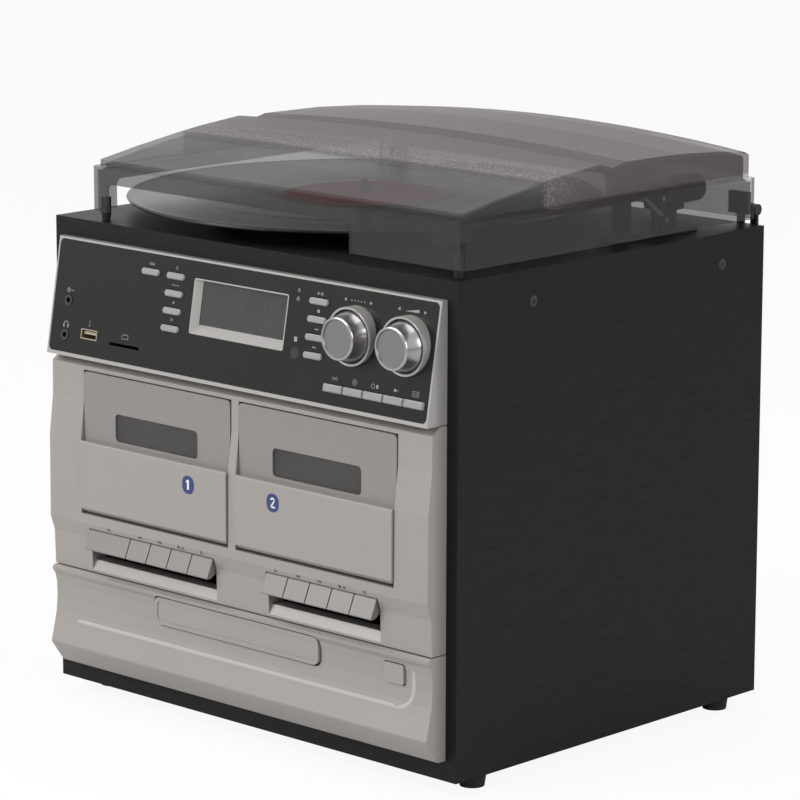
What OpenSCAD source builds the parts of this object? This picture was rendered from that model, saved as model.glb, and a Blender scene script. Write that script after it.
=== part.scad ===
// Stereo music centre: a wooden cabinet with a belt driven record player under a
// dust cover, two cassette decks, a disc drawer and a display panel with two knobs.
// Lengths are in millimetres. X runs to the right seen from the front, the front
// faces -Y and Z is up. Shapes are drawn from the middle of the cabinet's front
// face, at the cabinet's underside, and moved into the part's frame as a whole.

/* [Cabinet] */
// Width of the cabinet
cab_w = 345; // [335:1:380]
// Depth of the cabinet
cab_d = 280; // [278:1:310]
// Height of the cabinet without its feet
cab_h = 299.4; // [298:0.2:320]
// Thickness of the side, top and base boards
board_t = 12; // [9:0.5:14]
// Thickness of the front baffle
baffle_t = 18; // [15:0.5:20]
// Thickness of the rear panel
rear_t = 3; // [2:0.5:5]
// Height of a foot
foot_h = 10; // [6:0.5:16]
// Radius of a foot where it touches the cabinet
foot_r = 9; // [7:0.5:12]

/* [Front panels] */
// Width of the three front panels
fascia_w = 328; // [326:1:332]
// Bare strip of the baffle under the panels
strip_h = 12.5; // [10:0.5:16]
// Height of the disc panel
cd_h = 64.5; // [64:0.5:70]
// Height of the cassette panel
deck_h = 136.5; // [136:0.5:142]
// Height of the display panel's frame
disp_h = 73; // [72:0.5:78]
// Gap between one panel and the next
panel_gap = 0.7; // [0.4:0.1:1.2]

/* [Display panel] */
// Lean of the display face from the vertical, in degrees
disp_tilt = 9.85; // [6:0.05:12]
// How far the lower edge of the display face stands out
disp_out = 17; // [15:0.5:20]
// Width of the silver rim round the display face
rim_w = 1.4; // [1:0.1:2.5]
// Thickness of the black face plate
plate_t = 3; // [2:0.1:4]
// Width of a small button
pill_w = 15.5; // [12:0.5:17]
// Height of a small button
pill_h = 4; // [3:0.2:5]
// How far the buttons stand out of the face
button_out = 1.6; // [1:0.1:2.4]
// Travel of the buttons
button_travel = 0.8; // [0.4:0.1:1.2]
// Width of the display's bezel
lcd_w = 81; // [70:1:84]
// Height of the display's bezel
lcd_h = 34; // [28:0.5:36]
// Depth from the face to the display glass
lcd_depth = 3.5; // [2:0.1:4]
// Radius of the front of a knob
knob_face_r = 13; // [11:0.5:14]
// Radius of the foot of a knob
knob_base_r = 15.6; // [14.5:0.1:16]
// How far a knob stands out of the display face
knob_out = 15; // [12:0.5:18]
// Outer radius of the collar round a knob
collar_r = 17.6; // [17:0.1:19]
// Radius of the knob shafts
knob_shaft_r = 3; // [2.5:0.1:3.5]
// Radius of the two front jack bores
jack_r = 1.8; // [1.75:0.05:1.9]
// Depth of the two front jack bores
jack_depth = 14; // [12:0.5:16]

/* [Cassette decks] */
// Width of a cassette door
door_w = 131.2; // [128:0.2:133]
// Height of a cassette door
door_h = 89.4; // [88:0.2:91]
// Height of a door's thick lower half
door_step_h = 45.4; // [44:0.2:47]
// How far the lower half stands proud of the upper half
door_step = 4.2; // [3:0.1:5]
// Thickness of a door's upper half
door_t = 3.2; // [2.6:0.1:4]
// Running gap round a door
door_gap = 0.7; // [0.5:0.1:1]
// Width of the window in a door
pane_w = 74; // [66:1:80]
// Height of the window in a door
pane_h = 17.5; // [15:0.5:20]
// Width of a single tape key with its gap
key_pitch = 18.5; // [17.5:0.1:18.8]
// Height of a tape key's face
key_h = 12.4; // [11:0.2:13]
// Gap between neighbouring tape keys
key_gap = 0.8; // [0.5:0.1:1.2]
// Free space under the tape keys
key_drop = 8.4; // [8:0.2:10]
// Radius of the rods that the tape keys turn on
key_rod_r = 1.5; // [1.2:0.1:1.8]

/* [Disc drawer] */
// Width of the drawer's front
drawer_w = 143; // [138:1:150]
// Height of the drawer's front
drawer_h = 17.4; // [16:0.2:18]
// Width of the drawer's tray
tray_w = 130; // [128:1:136]
// Length of the tray behind its front
tray_len = 142; // [138:1:150]
// Thickness of the tray
tray_t = 5; // [4:0.2:6]
// Radius of the disc recess
disc_r = 60.5; // [60.2:0.1:61]

/* [Turntable] */
// Centre of the platter from the middle of the cabinet
platter_x = -42; // [-46:0.5:-38]
// Centre of the platter from the cabinet's front face
platter_y = 145; // [141:0.5:149]
// Radius of the platter
platter_r = 97; // [90:1:110]
// Gap between the cabinet's top and the platter
platter_gap = 2.2; // [1.5:0.1:3]
// Height of the platter with its mat
platter_h = 8; // [7:0.2:9]
// Radius of the drive ring under the platter
ring_r = 62; // [56:1:68]
// Radius of the motor's pulley
pulley_r = 6; // [5:0.2:8]
// Distance from the platter's centre to the pulley
pulley_dist = 80; // [76:1:84]
// Thickness of the drive belt
belt_t = 0.9; // [0.6:0.1:1.4]
// Radius of the record
record_r = 150.75; // [148:0.25:151]
// Thickness of the record
record_t = 1.8; // [1.4:0.1:2.4]
// Radius of the record's label
label_r = 50; // [46:1:52]
// Radius of the platter's spindle
spindle_r = 3.55; // [3.4:0.05:3.6]
// Sideways place of the tonearm's pivot
arm_x = 133; // [130:0.5:136]
// Place of the tonearm's pivot behind the cabinet's front
arm_y = 230; // [226:0.5:232]
// Distance from the tonearm's pivot to the stylus
arm_len = 203; // [196:1:206]
// Radius of the arm tube
arm_tube_r = 3.2; // [2.6:0.1:4]

/* [Dust cover] */
// Width of the dust cover
lid_w = 316.5; // [310:0.5:320]
// Depth of the dust cover
lid_d = 268.5; // [262:0.5:272]
// How far the dust cover reaches past the cabinet's right side
lid_over = 1; // [0:0.2:3]
// Distance from the cabinet's front face to the dust cover
lid_front = 3; // [1:0.5:6]
// Gap between the cabinet's top and the dust cover
lid_gap = 5.6; // [4:0.1:7]
// Height of the dust cover's skirt at the front
skirt_h = 28.5; // [26:0.5:32]
// Fall of the skirt's upper edge towards the rear
skirt_fall = 3; // [0:0.5:5]
// Width of the ledge between the skirt and the roof
ledge_w = 5; // [4:0.5:7]
// Wall thickness of the dust cover
lid_wall = 2.4; // [2:0.1:3]
// Height of the opening that the record reaches through
slot_h = 18.3; // [16:0.1:20]
// Width of a hinge
hinge_w = 16; // [12:1:17]
// Radius of a hinge knuckle
knuckle_r = 3.6; // [3:0.1:4.2]
// Radius of a hinge pin
hinge_pin_r = 1.5; // [1.2:0.1:1.8]

/* [Hidden] */
$fn = 64;
fit = 0.3; // gap between pieces that move past each other
running = 0.06; // gap between a shaft and its bush
far = 400; // longer than any cut has to be

// Heights of the three front panels, and where the display's openings are
side_x = cab_w / 2;
cd_z0 = strip_h;
cd_z1 = cd_z0 + cd_h;
deck_z0 = cd_z1 + panel_gap;
deck_z1 = deck_z0 + deck_h;
disp_z0 = deck_z1 + panel_gap;
disp_z1 = disp_z0 + disp_h;
inner_x = side_x - board_t;
top_z = cab_h - board_t;
foot_x = side_x - 14.5;
foot_front = 30;
foot_rear = 22;
foot_taper = 1.5;
foot_bore_r = 3.5;
foot_bore_h = 3;
batten_w = 14;
batten_h = 22;

// Screws through the sides and the rear panel
screw_r = 1.6;
screw_head_r = 3.4;
screw_head_h = 1;
screw_len = 16;
screw_play = 0.1;
side_screw_y = [64.3, 239];
side_screw_drop = 19.4;
rear_screw_in = 6;
rear_screw_drop = 36; // keeps the upper screws below the hinges

// Display panel: heights are measured up from the bottom of its frame
tilt_tan = tan(disp_tilt);
face_low = 2.4;
lcd_x = 1.5;
lcd_rise = 44.85;
knob_rise = 44.7;
volume_x = fascia_w / 2 - 22.3;
tuning_x = volume_x - 43.4;
collar_out = 5;
collar_t = 1.3;
lcd_left = lcd_x - lcd_w / 2;
lcd_right = lcd_x + lcd_w / 2;
left_pills_x = lcd_left - 16.5;
right_pills_x = lcd_right + 25.3;
menu_x = left_pills_x - 22.4;
pill_rise = 60.5;
pill_pitch = 10.6;
key_row_x = fascia_w / 2 - 44.5;
key_row_rise = 12.15;
function_pitch = 16.3;
function_h = 4.7;
jack_x = -fascia_w / 2 + 14.7;
aux_rise = 34.4;
phones_rise = 13;
jack_ring_r = 3.4;
usb_x = -fascia_w / 2 + 36.4;
usb_rise = 15.6;
usb_w = 14.8;
usb_h = 6.4;
card_x = -fascia_w / 2 + 69.2;
card_rise = 12.8;
card_w = 26.8;
card_h = 2;
led_x = lcd_right + 7.5;
led_rise = 60;
led_r = 1.5;
eye_x = lcd_right + 9.6;
eye_rise = 28.4;
eye_r = 3.5;
board_back = 12; // from the face to the back of the control board
pcb_t = 1.6;
switch_h = 2.4;
stem_end = board_back - pcb_t - switch_h - button_travel - 0.2;
stem_w = 3;

// Turntable, counted up from the cabinet's top
platter_z0 = cab_h + platter_gap;
platter_z1 = platter_z0 + platter_h;
mat_t = 1.4;
plate_web = 2.2;
rim_t = 2.4;
ring_t = 2.5;
bush_r = 6;
bush_flange_r = 8.5;
bush_flange_h = 1.2;
spindle_shaft_r = 3;
record_z0 = platter_z1 + 0.1;
record_z1 = record_z0 + record_t;
spindle_top = record_z1 + 9;
belt_h = 3;
belt_z0 = platter_z0 + 0.4;
pulley_angle = 215; // seen from above, from the platter's centre
pulley_x = platter_x + pulley_dist * cos(pulley_angle);
pulley_y = platter_y + pulley_dist * sin(pulley_angle);
motor_r = 14;
motor_h = 22;
motor_shaft_r = 1;
arm_base_r = 21;
arm_base_h = 3;
arm_post_r = 8;
arm_post_top = cab_h + 12.4;
yoke_r = 12.5;
yoke_floor = 2.5;
arm_z = cab_h + 22.6; // height of the arm tube
arm_pin_r = 1.2;
ear_t = 3;
ear_gap = 9.2;

// Dust cover
lid_x1 = side_x + lid_over;
lid_x0 = lid_x1 - lid_w;
lid_xc = (lid_x0 + lid_x1) / 2;
lid_y0 = lid_front;
lid_y1 = lid_front + lid_d;
lid_z0 = cab_h + lid_gap;
lid_rim_front = lid_z0 + skirt_h;
lid_rim_rear = lid_rim_front - skirt_fall;
lid_corner = 5;
slot_z1 = lid_z0 + slot_h;
hinge_y = cab_d + 1.4;
hinge_z = cab_h + 9;
hinge_x = [lid_x0 + 1.5 + hinge_w / 2, side_x - 6 - hinge_w / 2];

// Cassette decks: heights are measured up from the bottom of their panel
decks = [1, 2];
door_z0 = deck_z0 + 39.3;
door_z1 = door_z0 + door_h;
door_split = door_z0 + door_step_h;
door_face = -12.9; // front of a door's upper half
door_low_face = door_face - door_step;
door_back = door_face + door_t;
door_corner = 3;
door_bevel = 2.5;
door_pin_y = door_face + 0.3;
door_pin_z = door_z0 + 2.2;
door_pin_r = 1;
door_pin_len = 2.2;
pane_z = door_split + 11.9;
pane_t = 1.6;
pane_set = 0.8; // how deep the window lies in its door
well_w = 118;
well_wall = 2;
well_depth = 6; // from the panel's back to the well's rear wall
well_back = 38;
well_z0 = door_z0 - 0.6;
well_z1 = door_z0 + 86.6;
cassette_w = 102.4;
guide_t = 2.5;
guide_w = cassette_w + 1.6;
guide_back = well_depth - 1.5;
shelf_h = 3;
hub_gap = 42.5;
hub_z = door_z0 + 6 + 35;
hub_r = 4;
hub_tip = 9.3;
key_z0 = deck_z0 + 15.9;
key_z1 = key_z0 + key_h;
key_top_y = -14; // front of a key at its upper edge
key_low_y = -19.6; // and at its lower edge
key_rod_y = baffle_t + 6;
key_rod_z = key_z0 + 4.6;
lever_w = 8;
lever_t = 5;
bay_z0 = key_z0 - key_drop;
bay_z1 = key_z1 + 0.4;
bay_end = 0.8;
first_key = [0, -128.5, 29.6]; // left edge of each deck's keys

// Disc panel
drawer_x = 0.4;
drawer_z = cd_z0 + 51.2;
drawer_corner = 4.5;
drawer_gap = 1;
eject_gap = 0.6;
drawer_face = -13.2;
drawer_t = 3.5;
tray_y0 = drawer_face + drawer_t;
tray_z0 = drawer_z - 6;
disc_y = tray_y0 + 5 + disc_r;
disc_depth = 2.6;
small_disc_r = 40.5;
small_disc_depth = 1;
loader_w = tray_w + 12;
loader_z0 = drawer_z - 9;
loader_z1 = drawer_z + 10;
loader_len = tray_len - 4;
loader_wall = 2.4;
eject_x = 134.2;
eject_z = cd_z0 + 50.3;
eject_w = 15.3;
eject_h = 12.1;
eject_face = -13;
eject_travel = 1.5;

// Rear panel
display_open_x = inner_x - 4.5;
vent_count = 14;
vent_pitch = 7;
vent_x = -45.5;
vent_z = cab_h - 70;
vent_slot_w = 3;
vent_slot_h = 34;
socket_proud = 1;
socket_back = 14; // depth of a rear socket inside the panel
inlet_x = 118;
inlet_z = 42;
speaker_x = -80;
speaker_z = 50;
speaker_w = 66;
speaker_h = 26;
line_x = -10;
line_z = 50;
line_r = 4.6;
line_pitch = 16;
aerial_x = 40;

// The part's frame has its origin under the middle of the whole
record_left = platter_x - record_r;
knob_face_y = knob_y(knob_rise) - knob_out;
hinge_back = hinge_y + knuckle_r;
shift_x = -(record_left + lid_x1) / 2;
record_back = platter_y + record_r;
shift_y = -(knob_face_y + max(hinge_back, record_back)) / 2;

// ---------------------------------------------------------------- helpers

// Moves a shape from the cabinet's own place into the part's frame
module placed() translate([shift_x, shift_y, foot_h]) children();

// A block between two corners
module block(a, b) translate(a) cube(b - a);

// A side view outline, as [y, z] points, carried along X
module along_x(outline, x0, x1) {
    translate([x0, 0, 0])
    rotate([90, 0, 90])
    linear_extrude(x1 - x0)
    polygon(outline);
}

// A cylinder along Y, from front to back
module rod_y(x, z, r, y0, y1) {
    translate([x, y1, z]) rotate([90, 0, 0]) cylinder(r = r, h = y1 - y0);
}

// A cylinder along X
module rod_x(y, z, r, x0, x1) {
    translate([x0, y, z]) rotate([0, 90, 0]) cylinder(r = r, h = x1 - x0);
}

// A rectangle with round corners, centred
module round_rect(w, h, r) {
    for (x = [-1, 1], y = [-1, 1])
        translate([x * (w / 2 - r), y * (h / 2 - r)]) circle(r);
    if (w > 2 * r) square([w - 2 * r, h], center = true);
    if (h > 2 * r) square([w, h - 2 * r], center = true);
}

// A block standing on the front view's plane: centred on x and z, with round corners
module slab_y(x, z, w, h, r, y0, y1) {
    translate([x, y1, z])
    rotate([90, 0, 0])
    linear_extrude(y1 - y0)
    round_rect(w, h, r);
}

// How far back the display face lies at a height above the frame's bottom
function knob_y(rise) = -disp_out + rise * tilt_tan;

// Puts a shape on the display face: its Z points out of the face
module on_face(x, rise) {
    translate([x, knob_y(rise), disp_z0 + rise]) rotate([90 - disp_tilt, 0, 0]) children();
}

// ---------------------------------------------------------------- cabinet

module base_board() {
    color("#1b1b1c")
    block([-inner_x, baffle_t, 0], [inner_x, cab_d, board_t]);
}

module side_screw_holes() {
    for (y = side_screw_y)
        rod_x(y, cab_h - side_screw_drop, screw_r + screw_play, -far, far);
}

module side_panels() {
    color("#1b1b1c")
    for (s = [-1, 1])
        difference() {
            translate([s * (side_x - board_t / 2), (baffle_t + cab_d) / 2, cab_h / 2])
                cube([board_t, cab_d - baffle_t, cab_h], center = true);
            side_screw_holes();
        }
}

module top_board() {
    color("#1b1b1c") {
        difference() {
            block([-inner_x, baffle_t, top_z], [inner_x, cab_d, cab_h]);
            translate([platter_x, platter_y, 0]) cylinder(r = bush_r, h = far);
            translate([pulley_x, pulley_y, 0]) cylinder(r = pulley_r + 3, h = far);
        }
        for (s = [-1, 1])
            difference() {
                translate([s * (inner_x - batten_w / 2), cab_d / 2, top_z - batten_h / 2])
                    cube([batten_w, cab_d - 2 * baffle_t - 10, batten_h], center = true);
                side_screw_holes();
            }
    }
    // Flanged bush that the platter's spindle turns in
    color("#b89a4e")
    translate([platter_x, platter_y, 0])
    difference() {
        union() {
            translate([0, 0, top_z - 4]) cylinder(r = bush_r - 0.02, h = cab_h - top_z + 4);
            translate([0, 0, cab_h]) cylinder(r = bush_flange_r, h = bush_flange_h);
        }
        cylinder(r = spindle_shaft_r + running, h = far);
    }
}

module front_baffle() {
    color("#1b1b1c")
    difference() {
        block([-side_x, 0, 0], [side_x, baffle_t, cab_h]);
        // Behind the display panel
        block([-display_open_x, -1, disp_z0 + 4], [display_open_x, far, disp_z1 - 4]);
        // Behind each cassette deck, and behind its keys
        for (d = decks) {
            block([deck_x(d) - well_w / 2, -1, well_z0], [deck_x(d) + well_w / 2, far, well_z1]);
            block([bay_x0(d) - 3, -1, bay_z0], [bay_x1(d) + 3, far, well_z0 - 4]);
        }
        // Behind the disc drawer and its button
        block([drawer_x - loader_w / 2, -1, loader_z0], [drawer_x + loader_w / 2, far, loader_z1]);
        block([eject_x - 12, -1, eject_z - 8], [eject_x + 12, far, eject_z + 8]);
    }
}

module rear_panel() {
    color("#232324")
    difference() {
        block([-inner_x, cab_d - rear_t, board_t], [inner_x, cab_d, top_z]);
        // Ventilation slots over the transformer
        for (i = [0:vent_count - 1])
            slab_y(vent_x + i * vent_pitch, vent_z, vent_slot_w, vent_slot_h, vent_slot_w / 2 - 0.1,
                0, far);
        rear_holes(0);
        rear_screw_places() rod_y(0, 0, screw_r + screw_play, 0, far);
    }
}

module feet() {
    color("#111112")
    for (s = [-1, 1], y = [foot_front, cab_d - foot_rear])
        translate([s * foot_x, y, -foot_h])
        difference() {
            cylinder(r1 = foot_r - foot_taper, r2 = foot_r, h = foot_h);
            translate([0, 0, -1]) cylinder(r = foot_bore_r, h = foot_bore_h + 1);
        }
}

module rear_screw_places() {
    for (x = [-1, 0, 1], z = [board_t + rear_screw_in, top_z - rear_screw_drop])
        translate([x * (inner_x - rear_screw_in), 0, z]) children();
}

// A domed cross head screw along Z, its head upwards
module screw() {
    difference() {
        union() {
            translate([0, 0, -screw_len]) cylinder(r = screw_r, h = screw_len);
            intersection() {
                cylinder(r = screw_head_r, h = screw_head_h);
                translate([0, 0, screw_head_h - 8]) sphere(r = 8);
            }
        }
        for (a = [0, 90])
            rotate([0, 0, a])
            translate([0, 0, screw_head_h])
                cube([screw_head_r, 0.8, 1], center = true);
    }
}

module panel_screws() {
    color("#39393b") {
        for (s = [-1, 1], y = side_screw_y)
            translate([s * side_x, y, cab_h - side_screw_drop]) rotate([0, s * 90, 0]) screw();
        rear_screw_places()
            translate([0, cab_d, 0]) rotate([-90, 0, 0]) screw();
    }
}

// ---------------------------------------------------------- display panel

face_h = disp_h / cos(disp_tilt);
plate_w = fascia_w - 2 * rim_w;
plate_h = face_h - face_low - rim_w;
plate_corner = 3;
frame_lip = 2.5;
bezel_edge = 0.8;
bezel_depth = lcd_depth + 1.6;
bezel_head = 1.4; // narrow edge over the glass
bezel_foot = 6; // wide slope under it
glass_w = lcd_w - 8;
glass_h = lcd_h - bezel_head - bezel_foot;
glass_up = (bezel_foot - bezel_head) / 2;

module face_outline(grow) {
    translate([0, face_low + plate_h / 2])
        round_rect(plate_w + 2 * grow, plate_h + 2 * grow, plate_corner + grow);
}

// A row of places for the small buttons: number 0 is the menu button,
// 1 to 4 are the left column and 5 to 8 the right one
function pill_x(i) = i == 0 ? menu_x : i < 5 ? left_pills_x : right_pills_x;
function pill_up(i) = i == 0 ? pill_rise : pill_rise - ((i - 1) % 4) * pill_pitch;
function function_x(i) = key_row_x + (i - 3) * function_pitch;

module pill(w, h) {
    for (s = [-1, 1]) translate([s * (w - h) / 2, 0]) circle(h / 2);
    square([w - h, h], center = true);
}

module display_frame() {
    color("#b9b8b4") {
        difference() {
            along_x([[0, disp_z0], [-disp_out, disp_z0], [knob_y(disp_h), disp_z1],
                [0, disp_z1]], -fascia_w / 2, fascia_w / 2);
            on_face(0, 0) translate([0, 0, -plate_t - 0.02])
                linear_extrude(far) face_outline(0.1);
            on_face(0, 0) translate([0, 0, -far / 2])
                linear_extrude(far) face_outline(-frame_lip);
        }
        lcd_bezel();
        for (x = [tuning_x, volume_x]) collar(x);
    }
}

// The display's sloping surround, which narrows towards the glass
module lcd_bezel() {
    on_face(lcd_x, lcd_rise)
    difference() {
        translate([0, 0, -bezel_depth])
            linear_extrude(bezel_depth + 0.4) round_rect(lcd_w, lcd_h, 1.5);
        hull() {
            translate([0, 0, 0.4])
                cube([lcd_w - 2 * bezel_edge, lcd_h - 2 * bezel_edge, 0.02], center = true);
            translate([0, glass_up, -lcd_depth]) cube([glass_w, glass_h, 0.02], center = true);
        }
        translate([0, glass_up, 0]) cube([glass_w, glass_h, far], center = true);
    }
}

module collar(x) {
    intersection() {
        difference() {
            rod_y(x, disp_z0 + knob_rise, collar_r, knob_y(knob_rise) - collar_out, far);
            rod_y(x, disp_z0 + knob_rise, collar_r - collar_t, -far, far);
        }
        on_face(x, knob_rise) translate([-far / 2, -far / 2, 0.05]) cube([far, far, far / 2]);
    }
}

module display_fascia() {
    color("#141415")
    difference() {
        on_face(0, 0) translate([0, 0, -plate_t]) linear_extrude(plate_t) face_outline(0);
        on_face(lcd_x, lcd_rise) face_hole() round_rect(lcd_w + 0.2, lcd_h + 0.2, 1.6);
        for (i = [0:8]) on_face(pill_x(i), pill_up(i)) face_hole() pill(pill_w + 2 * fit,
            pill_h + 2 * fit);
        on_face(key_row_x, key_row_rise) face_hole()
            square([5 * function_pitch + fit, function_h + 2 * fit], center = true);
        for (r = [aux_rise, phones_rise]) on_face(jack_x, r) face_hole()
            circle(jack_ring_r + 0.05);
        on_face(usb_x, usb_rise) face_hole() square([usb_w + 0.2, usb_h + 0.2], center = true);
        on_face(card_x, card_rise) face_hole() square([card_w, card_h], center = true);
        on_face(led_x, led_rise) face_hole() circle(led_r + 0.05);
        on_face(eye_x, eye_rise) face_hole() circle(eye_r + 0.05);
        for (x = [tuning_x, volume_x])
            rod_y(x, disp_z0 + knob_rise, pot_neck_r + 0.4, -far, far);
    }
}

module face_hole() {
    translate([0, 0, -far / 2]) linear_extrude(far) children();
}

module display_windows() {
    color("#4a4f55") {
        on_face(lcd_x, lcd_rise) translate([0, glass_up, -lcd_depth - 1.3])
            linear_extrude(1.2) square([glass_w - 0.2, glass_h - 0.2], center = true);
        on_face(led_x, led_rise) translate([0, 0, -plate_t]) {
            cylinder(r = led_r, h = plate_t);
            translate([0, 0, plate_t - 1.2]) intersection() {
                sphere(r = 1.9);
                cylinder(r = led_r, h = 3);
            }
        }
        on_face(eye_x, eye_rise) translate([0, 0, -plate_t]) cylinder(r = eye_r, h = plate_t);
    }
}

// A small lozenge button with its stem, drawn where it stands
module pill_button(i) {
    color("#c4c2bc")
    on_face(pill_x(i), pill_up(i))
    button_shape() {
        pill(pill_w, pill_h);
        pill(pill_w - 1, pill_h - 1);
    }
}

module function_button(i) {
    color("#c4c2bc")
    on_face(function_x(i), key_row_rise)
    button_shape() {
        round_rect(function_pitch - 0.6, function_h, 0.8);
        round_rect(function_pitch - 1.6, function_h - 1, 0.5);
    }
}

// A cap with a stepped edge, and the stem that reaches for its switch
module button_shape() {
    translate([0, 0, -plate_t - 0.4]) linear_extrude(plate_t + button_out - 0.1) children(0);
    translate([0, 0, button_out - 0.5]) linear_extrude(0.5) children(1);
    translate([-stem_w / 2, -stem_w / 2, -stem_end]) cube([stem_w, stem_w, stem_end - plate_t]);
}

pot_neck_r = 4.2;
pot_r = 8;
knob_back_y = knob_y(knob_rise) - knob_base_r * tilt_tan - 0.5;
knob_h = knob_back_y - knob_face_y;
knob_ring = 1.6;
knob_dish = 0.9;
shaft_front = knob_face_y + 5;
shaft_back = knob_y(knob_rise) + 14;

// The knob flares in a curve from its rim to its foot
function knob_side(t) = knob_face_r + (knob_base_r - knob_face_r) * pow(1 - t, 2);

module knob(x) {
    z = disp_z0 + knob_rise;
    steps = 10;
    rounding = 0.8;
    color("#bdbcb8")
    difference() {
        translate([x, knob_back_y, z])
        rotate([90, 0, 0])
        rotate_extrude()
        polygon(concat(
            [[0, 0], [knob_base_r - 0.4, 0]],
            [for (i = [0:steps]) let (t = i / steps)
                [knob_side(t), 0.4 + t * (knob_h - rounding - 0.4)]],
            [[knob_face_r - rounding * 0.3, knob_h - rounding * 0.3],
             [knob_face_r - rounding, knob_h],
             [knob_face_r - knob_ring, knob_h],
             [knob_face_r - knob_ring - 0.4, knob_h - knob_dish],
             [0, knob_h - knob_dish]]));
        rod_y(x, z, knob_shaft_r, shaft_front, far);
    }
    color("#8f9093") rod_y(x, z, knob_shaft_r, shaft_front, shaft_back);
}

module sockets() {
    color("#1a1a1b") {
        for (r = [aux_rise, phones_rise])
            on_face(jack_x, r)
            difference() {
                translate([0, 0, -jack_depth - 2]) cylinder(r = jack_ring_r, h = jack_depth + 2.5);
                translate([0, 0, 0.5 - jack_depth]) cylinder(r = jack_r, h = far);
            }
        on_face(usb_x, usb_rise) {
            difference() {
                translate([0, 0, -7.1]) cube([usb_w, usb_h, 14], center = true);
                translate([0, 0, -5]) cube([usb_w - 1.4, usb_h - 1.4, 14], center = true);
            }
            translate([0, 0.9, -7]) cube([usb_w - 3.6, 1.8, 11], center = true);
        }
        on_face(card_x, card_rise)
            difference() {
                translate([0, 0, -plate_t - 9]) cube([card_w + 4, card_h + 4, 17.9], center = true);
                translate([0, 0, -8]) cube([card_w, card_h, 20], center = true);
            }
        difference() {
            intersection() {
                rear_holes(-0.1);
                block([-far, cab_d - socket_back, 0], [far, cab_d + socket_proud, far]);
            }
            // Openings of the inlet, the speaker terminals, the line output and the aerial
            slab_y(inlet_x, inlet_z, 16, 8.5, 3, cab_d - 10, far);
            for (i = [-1.5, -0.5, 0.5, 1.5])
                rod_y(speaker_x + i * 15, speaker_z - 5, 2, cab_d - 9, far);
            for (i = [0, 1]) rod_y(line_x + i * line_pitch, line_z, 1.7, cab_d - 9, far);
            rod_y(aerial_x, line_z, 1.2, cab_d - 9, far);
        }
    }
}

// Outlines of the sockets in the rear panel, grown or shrunk all round
module rear_holes(grow) {
    slab_y(inlet_x, inlet_z, 26 + 2 * grow, 18 + 2 * grow, 3, 0, far);
    slab_y(speaker_x, speaker_z, speaker_w + 2 * grow, speaker_h + 2 * grow, 2, 0, far);
    for (i = [0, 1]) rod_y(line_x + i * line_pitch, line_z, line_r + grow, 0, far);
    rod_y(aerial_x, line_z, line_r + grow, 0, far);
}

// --------------------------------------------------------- cassette decks

function deck_x(d) = d == 1 ? -68.5 : 70.5;

// Left edges of the keys: the first key of the first deck is two keys wide
function key_w(d, i) = (d == 1 && i == 1) ? 2 * key_pitch + key_gap : key_pitch;
function key_left(d, i) = i == 1 ? first_key[d] : key_left(d, i - 1) + key_w(d, i - 1);
function bay_x0(d) = first_key[d] - key_gap / 2;
function bay_x1(d) = key_left(d, 6) + bay_end;

module cassette_fascia() {
    outline = [[0, deck_z0], [-12, deck_z0], [-12.7, deck_z0 + 22], [-15.9, deck_z0 + 31.7],
        [-15.5, door_split], [-12.4, deck_z0 + 110], [-12.2, deck_z1 - 4.6],
        [-6.4, deck_z1 - 0.4], [-6, deck_z1], [0, deck_z1]];
    color("#aeadaa")
    difference() {
        along_x(outline, -fascia_w / 2, fascia_w / 2);
        for (d = decks) {
            block([deck_x(d) - door_w / 2 - door_gap, -far, door_z0 - 2.2 * door_gap],
                [deck_x(d) + door_w / 2 + door_gap, 1, door_z1 + door_gap]);
            rod_x(door_pin_y, door_pin_z, door_pin_r + running,
                deck_x(d) - door_w / 2 - door_pin_len - fit,
                deck_x(d) + door_w / 2 + door_pin_len + fit);
            block([bay_x0(d), -far, bay_z0], [bay_x1(d), 1, bay_z1]);
            // The sloping scoop that leads the eye to each deck's keys
            along_x([[-12, bay_z0 - 6], [-18, bay_z0 - 6], [-18, bay_z0 + 2],
                [-9, bay_z0 + 1]], bay_x0(d), bay_x1(d));
        }
    }
}

// A door: a thin upper half with the window and a thick lower half, with guides
// behind it that hold the cassette
module door(d) {
    x = deck_x(d);
    color("#b4b3b0")
    difference() {
        intersection() {
            union() {
                block([x - door_w / 2, door_face, door_z0], [x + door_w / 2, door_back, door_z1]);
                along_x([[door_back, door_z0], [door_low_face + door_bevel, door_z0],
                    [door_low_face, door_z0 + door_bevel], [door_low_face, door_split - 0.8],
                    [door_low_face + 0.8, door_split], [door_back, door_split]],
                    x - door_w / 2, x + door_w / 2);
            }
            slab_y(x, (door_z0 + door_z1) / 2, door_w, door_h, door_corner, -far, far);
        }
        slab_y(x, pane_z, pane_w, pane_h, 3, -far, far);
        slab_y(x, pane_z, pane_w + 3, pane_h + 3, 4, door_face + pane_set + pane_t, far);
    }
    color("#b4b3b0")
    for (s = [-1, 1]) {
        translate([x + s * (guide_w + guide_t) / 2, (door_back + guide_back) / 2, door_z0 + 38])
            cube([guide_t, guide_back - door_back, 70], center = true);
        translate([x + s * (guide_w / 2 - 6), (door_back + guide_back) / 2, door_z0 + 3 + shelf_h / 2])
            cube([12, guide_back - door_back, shelf_h], center = true);
    }
    color("#8f9093")
    for (s = [-1, 1])
        rod_x(door_pin_y, door_pin_z, door_pin_r, x + s * door_w / 2 - door_pin_len,
            x + s * door_w / 2 + door_pin_len);
}

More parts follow.
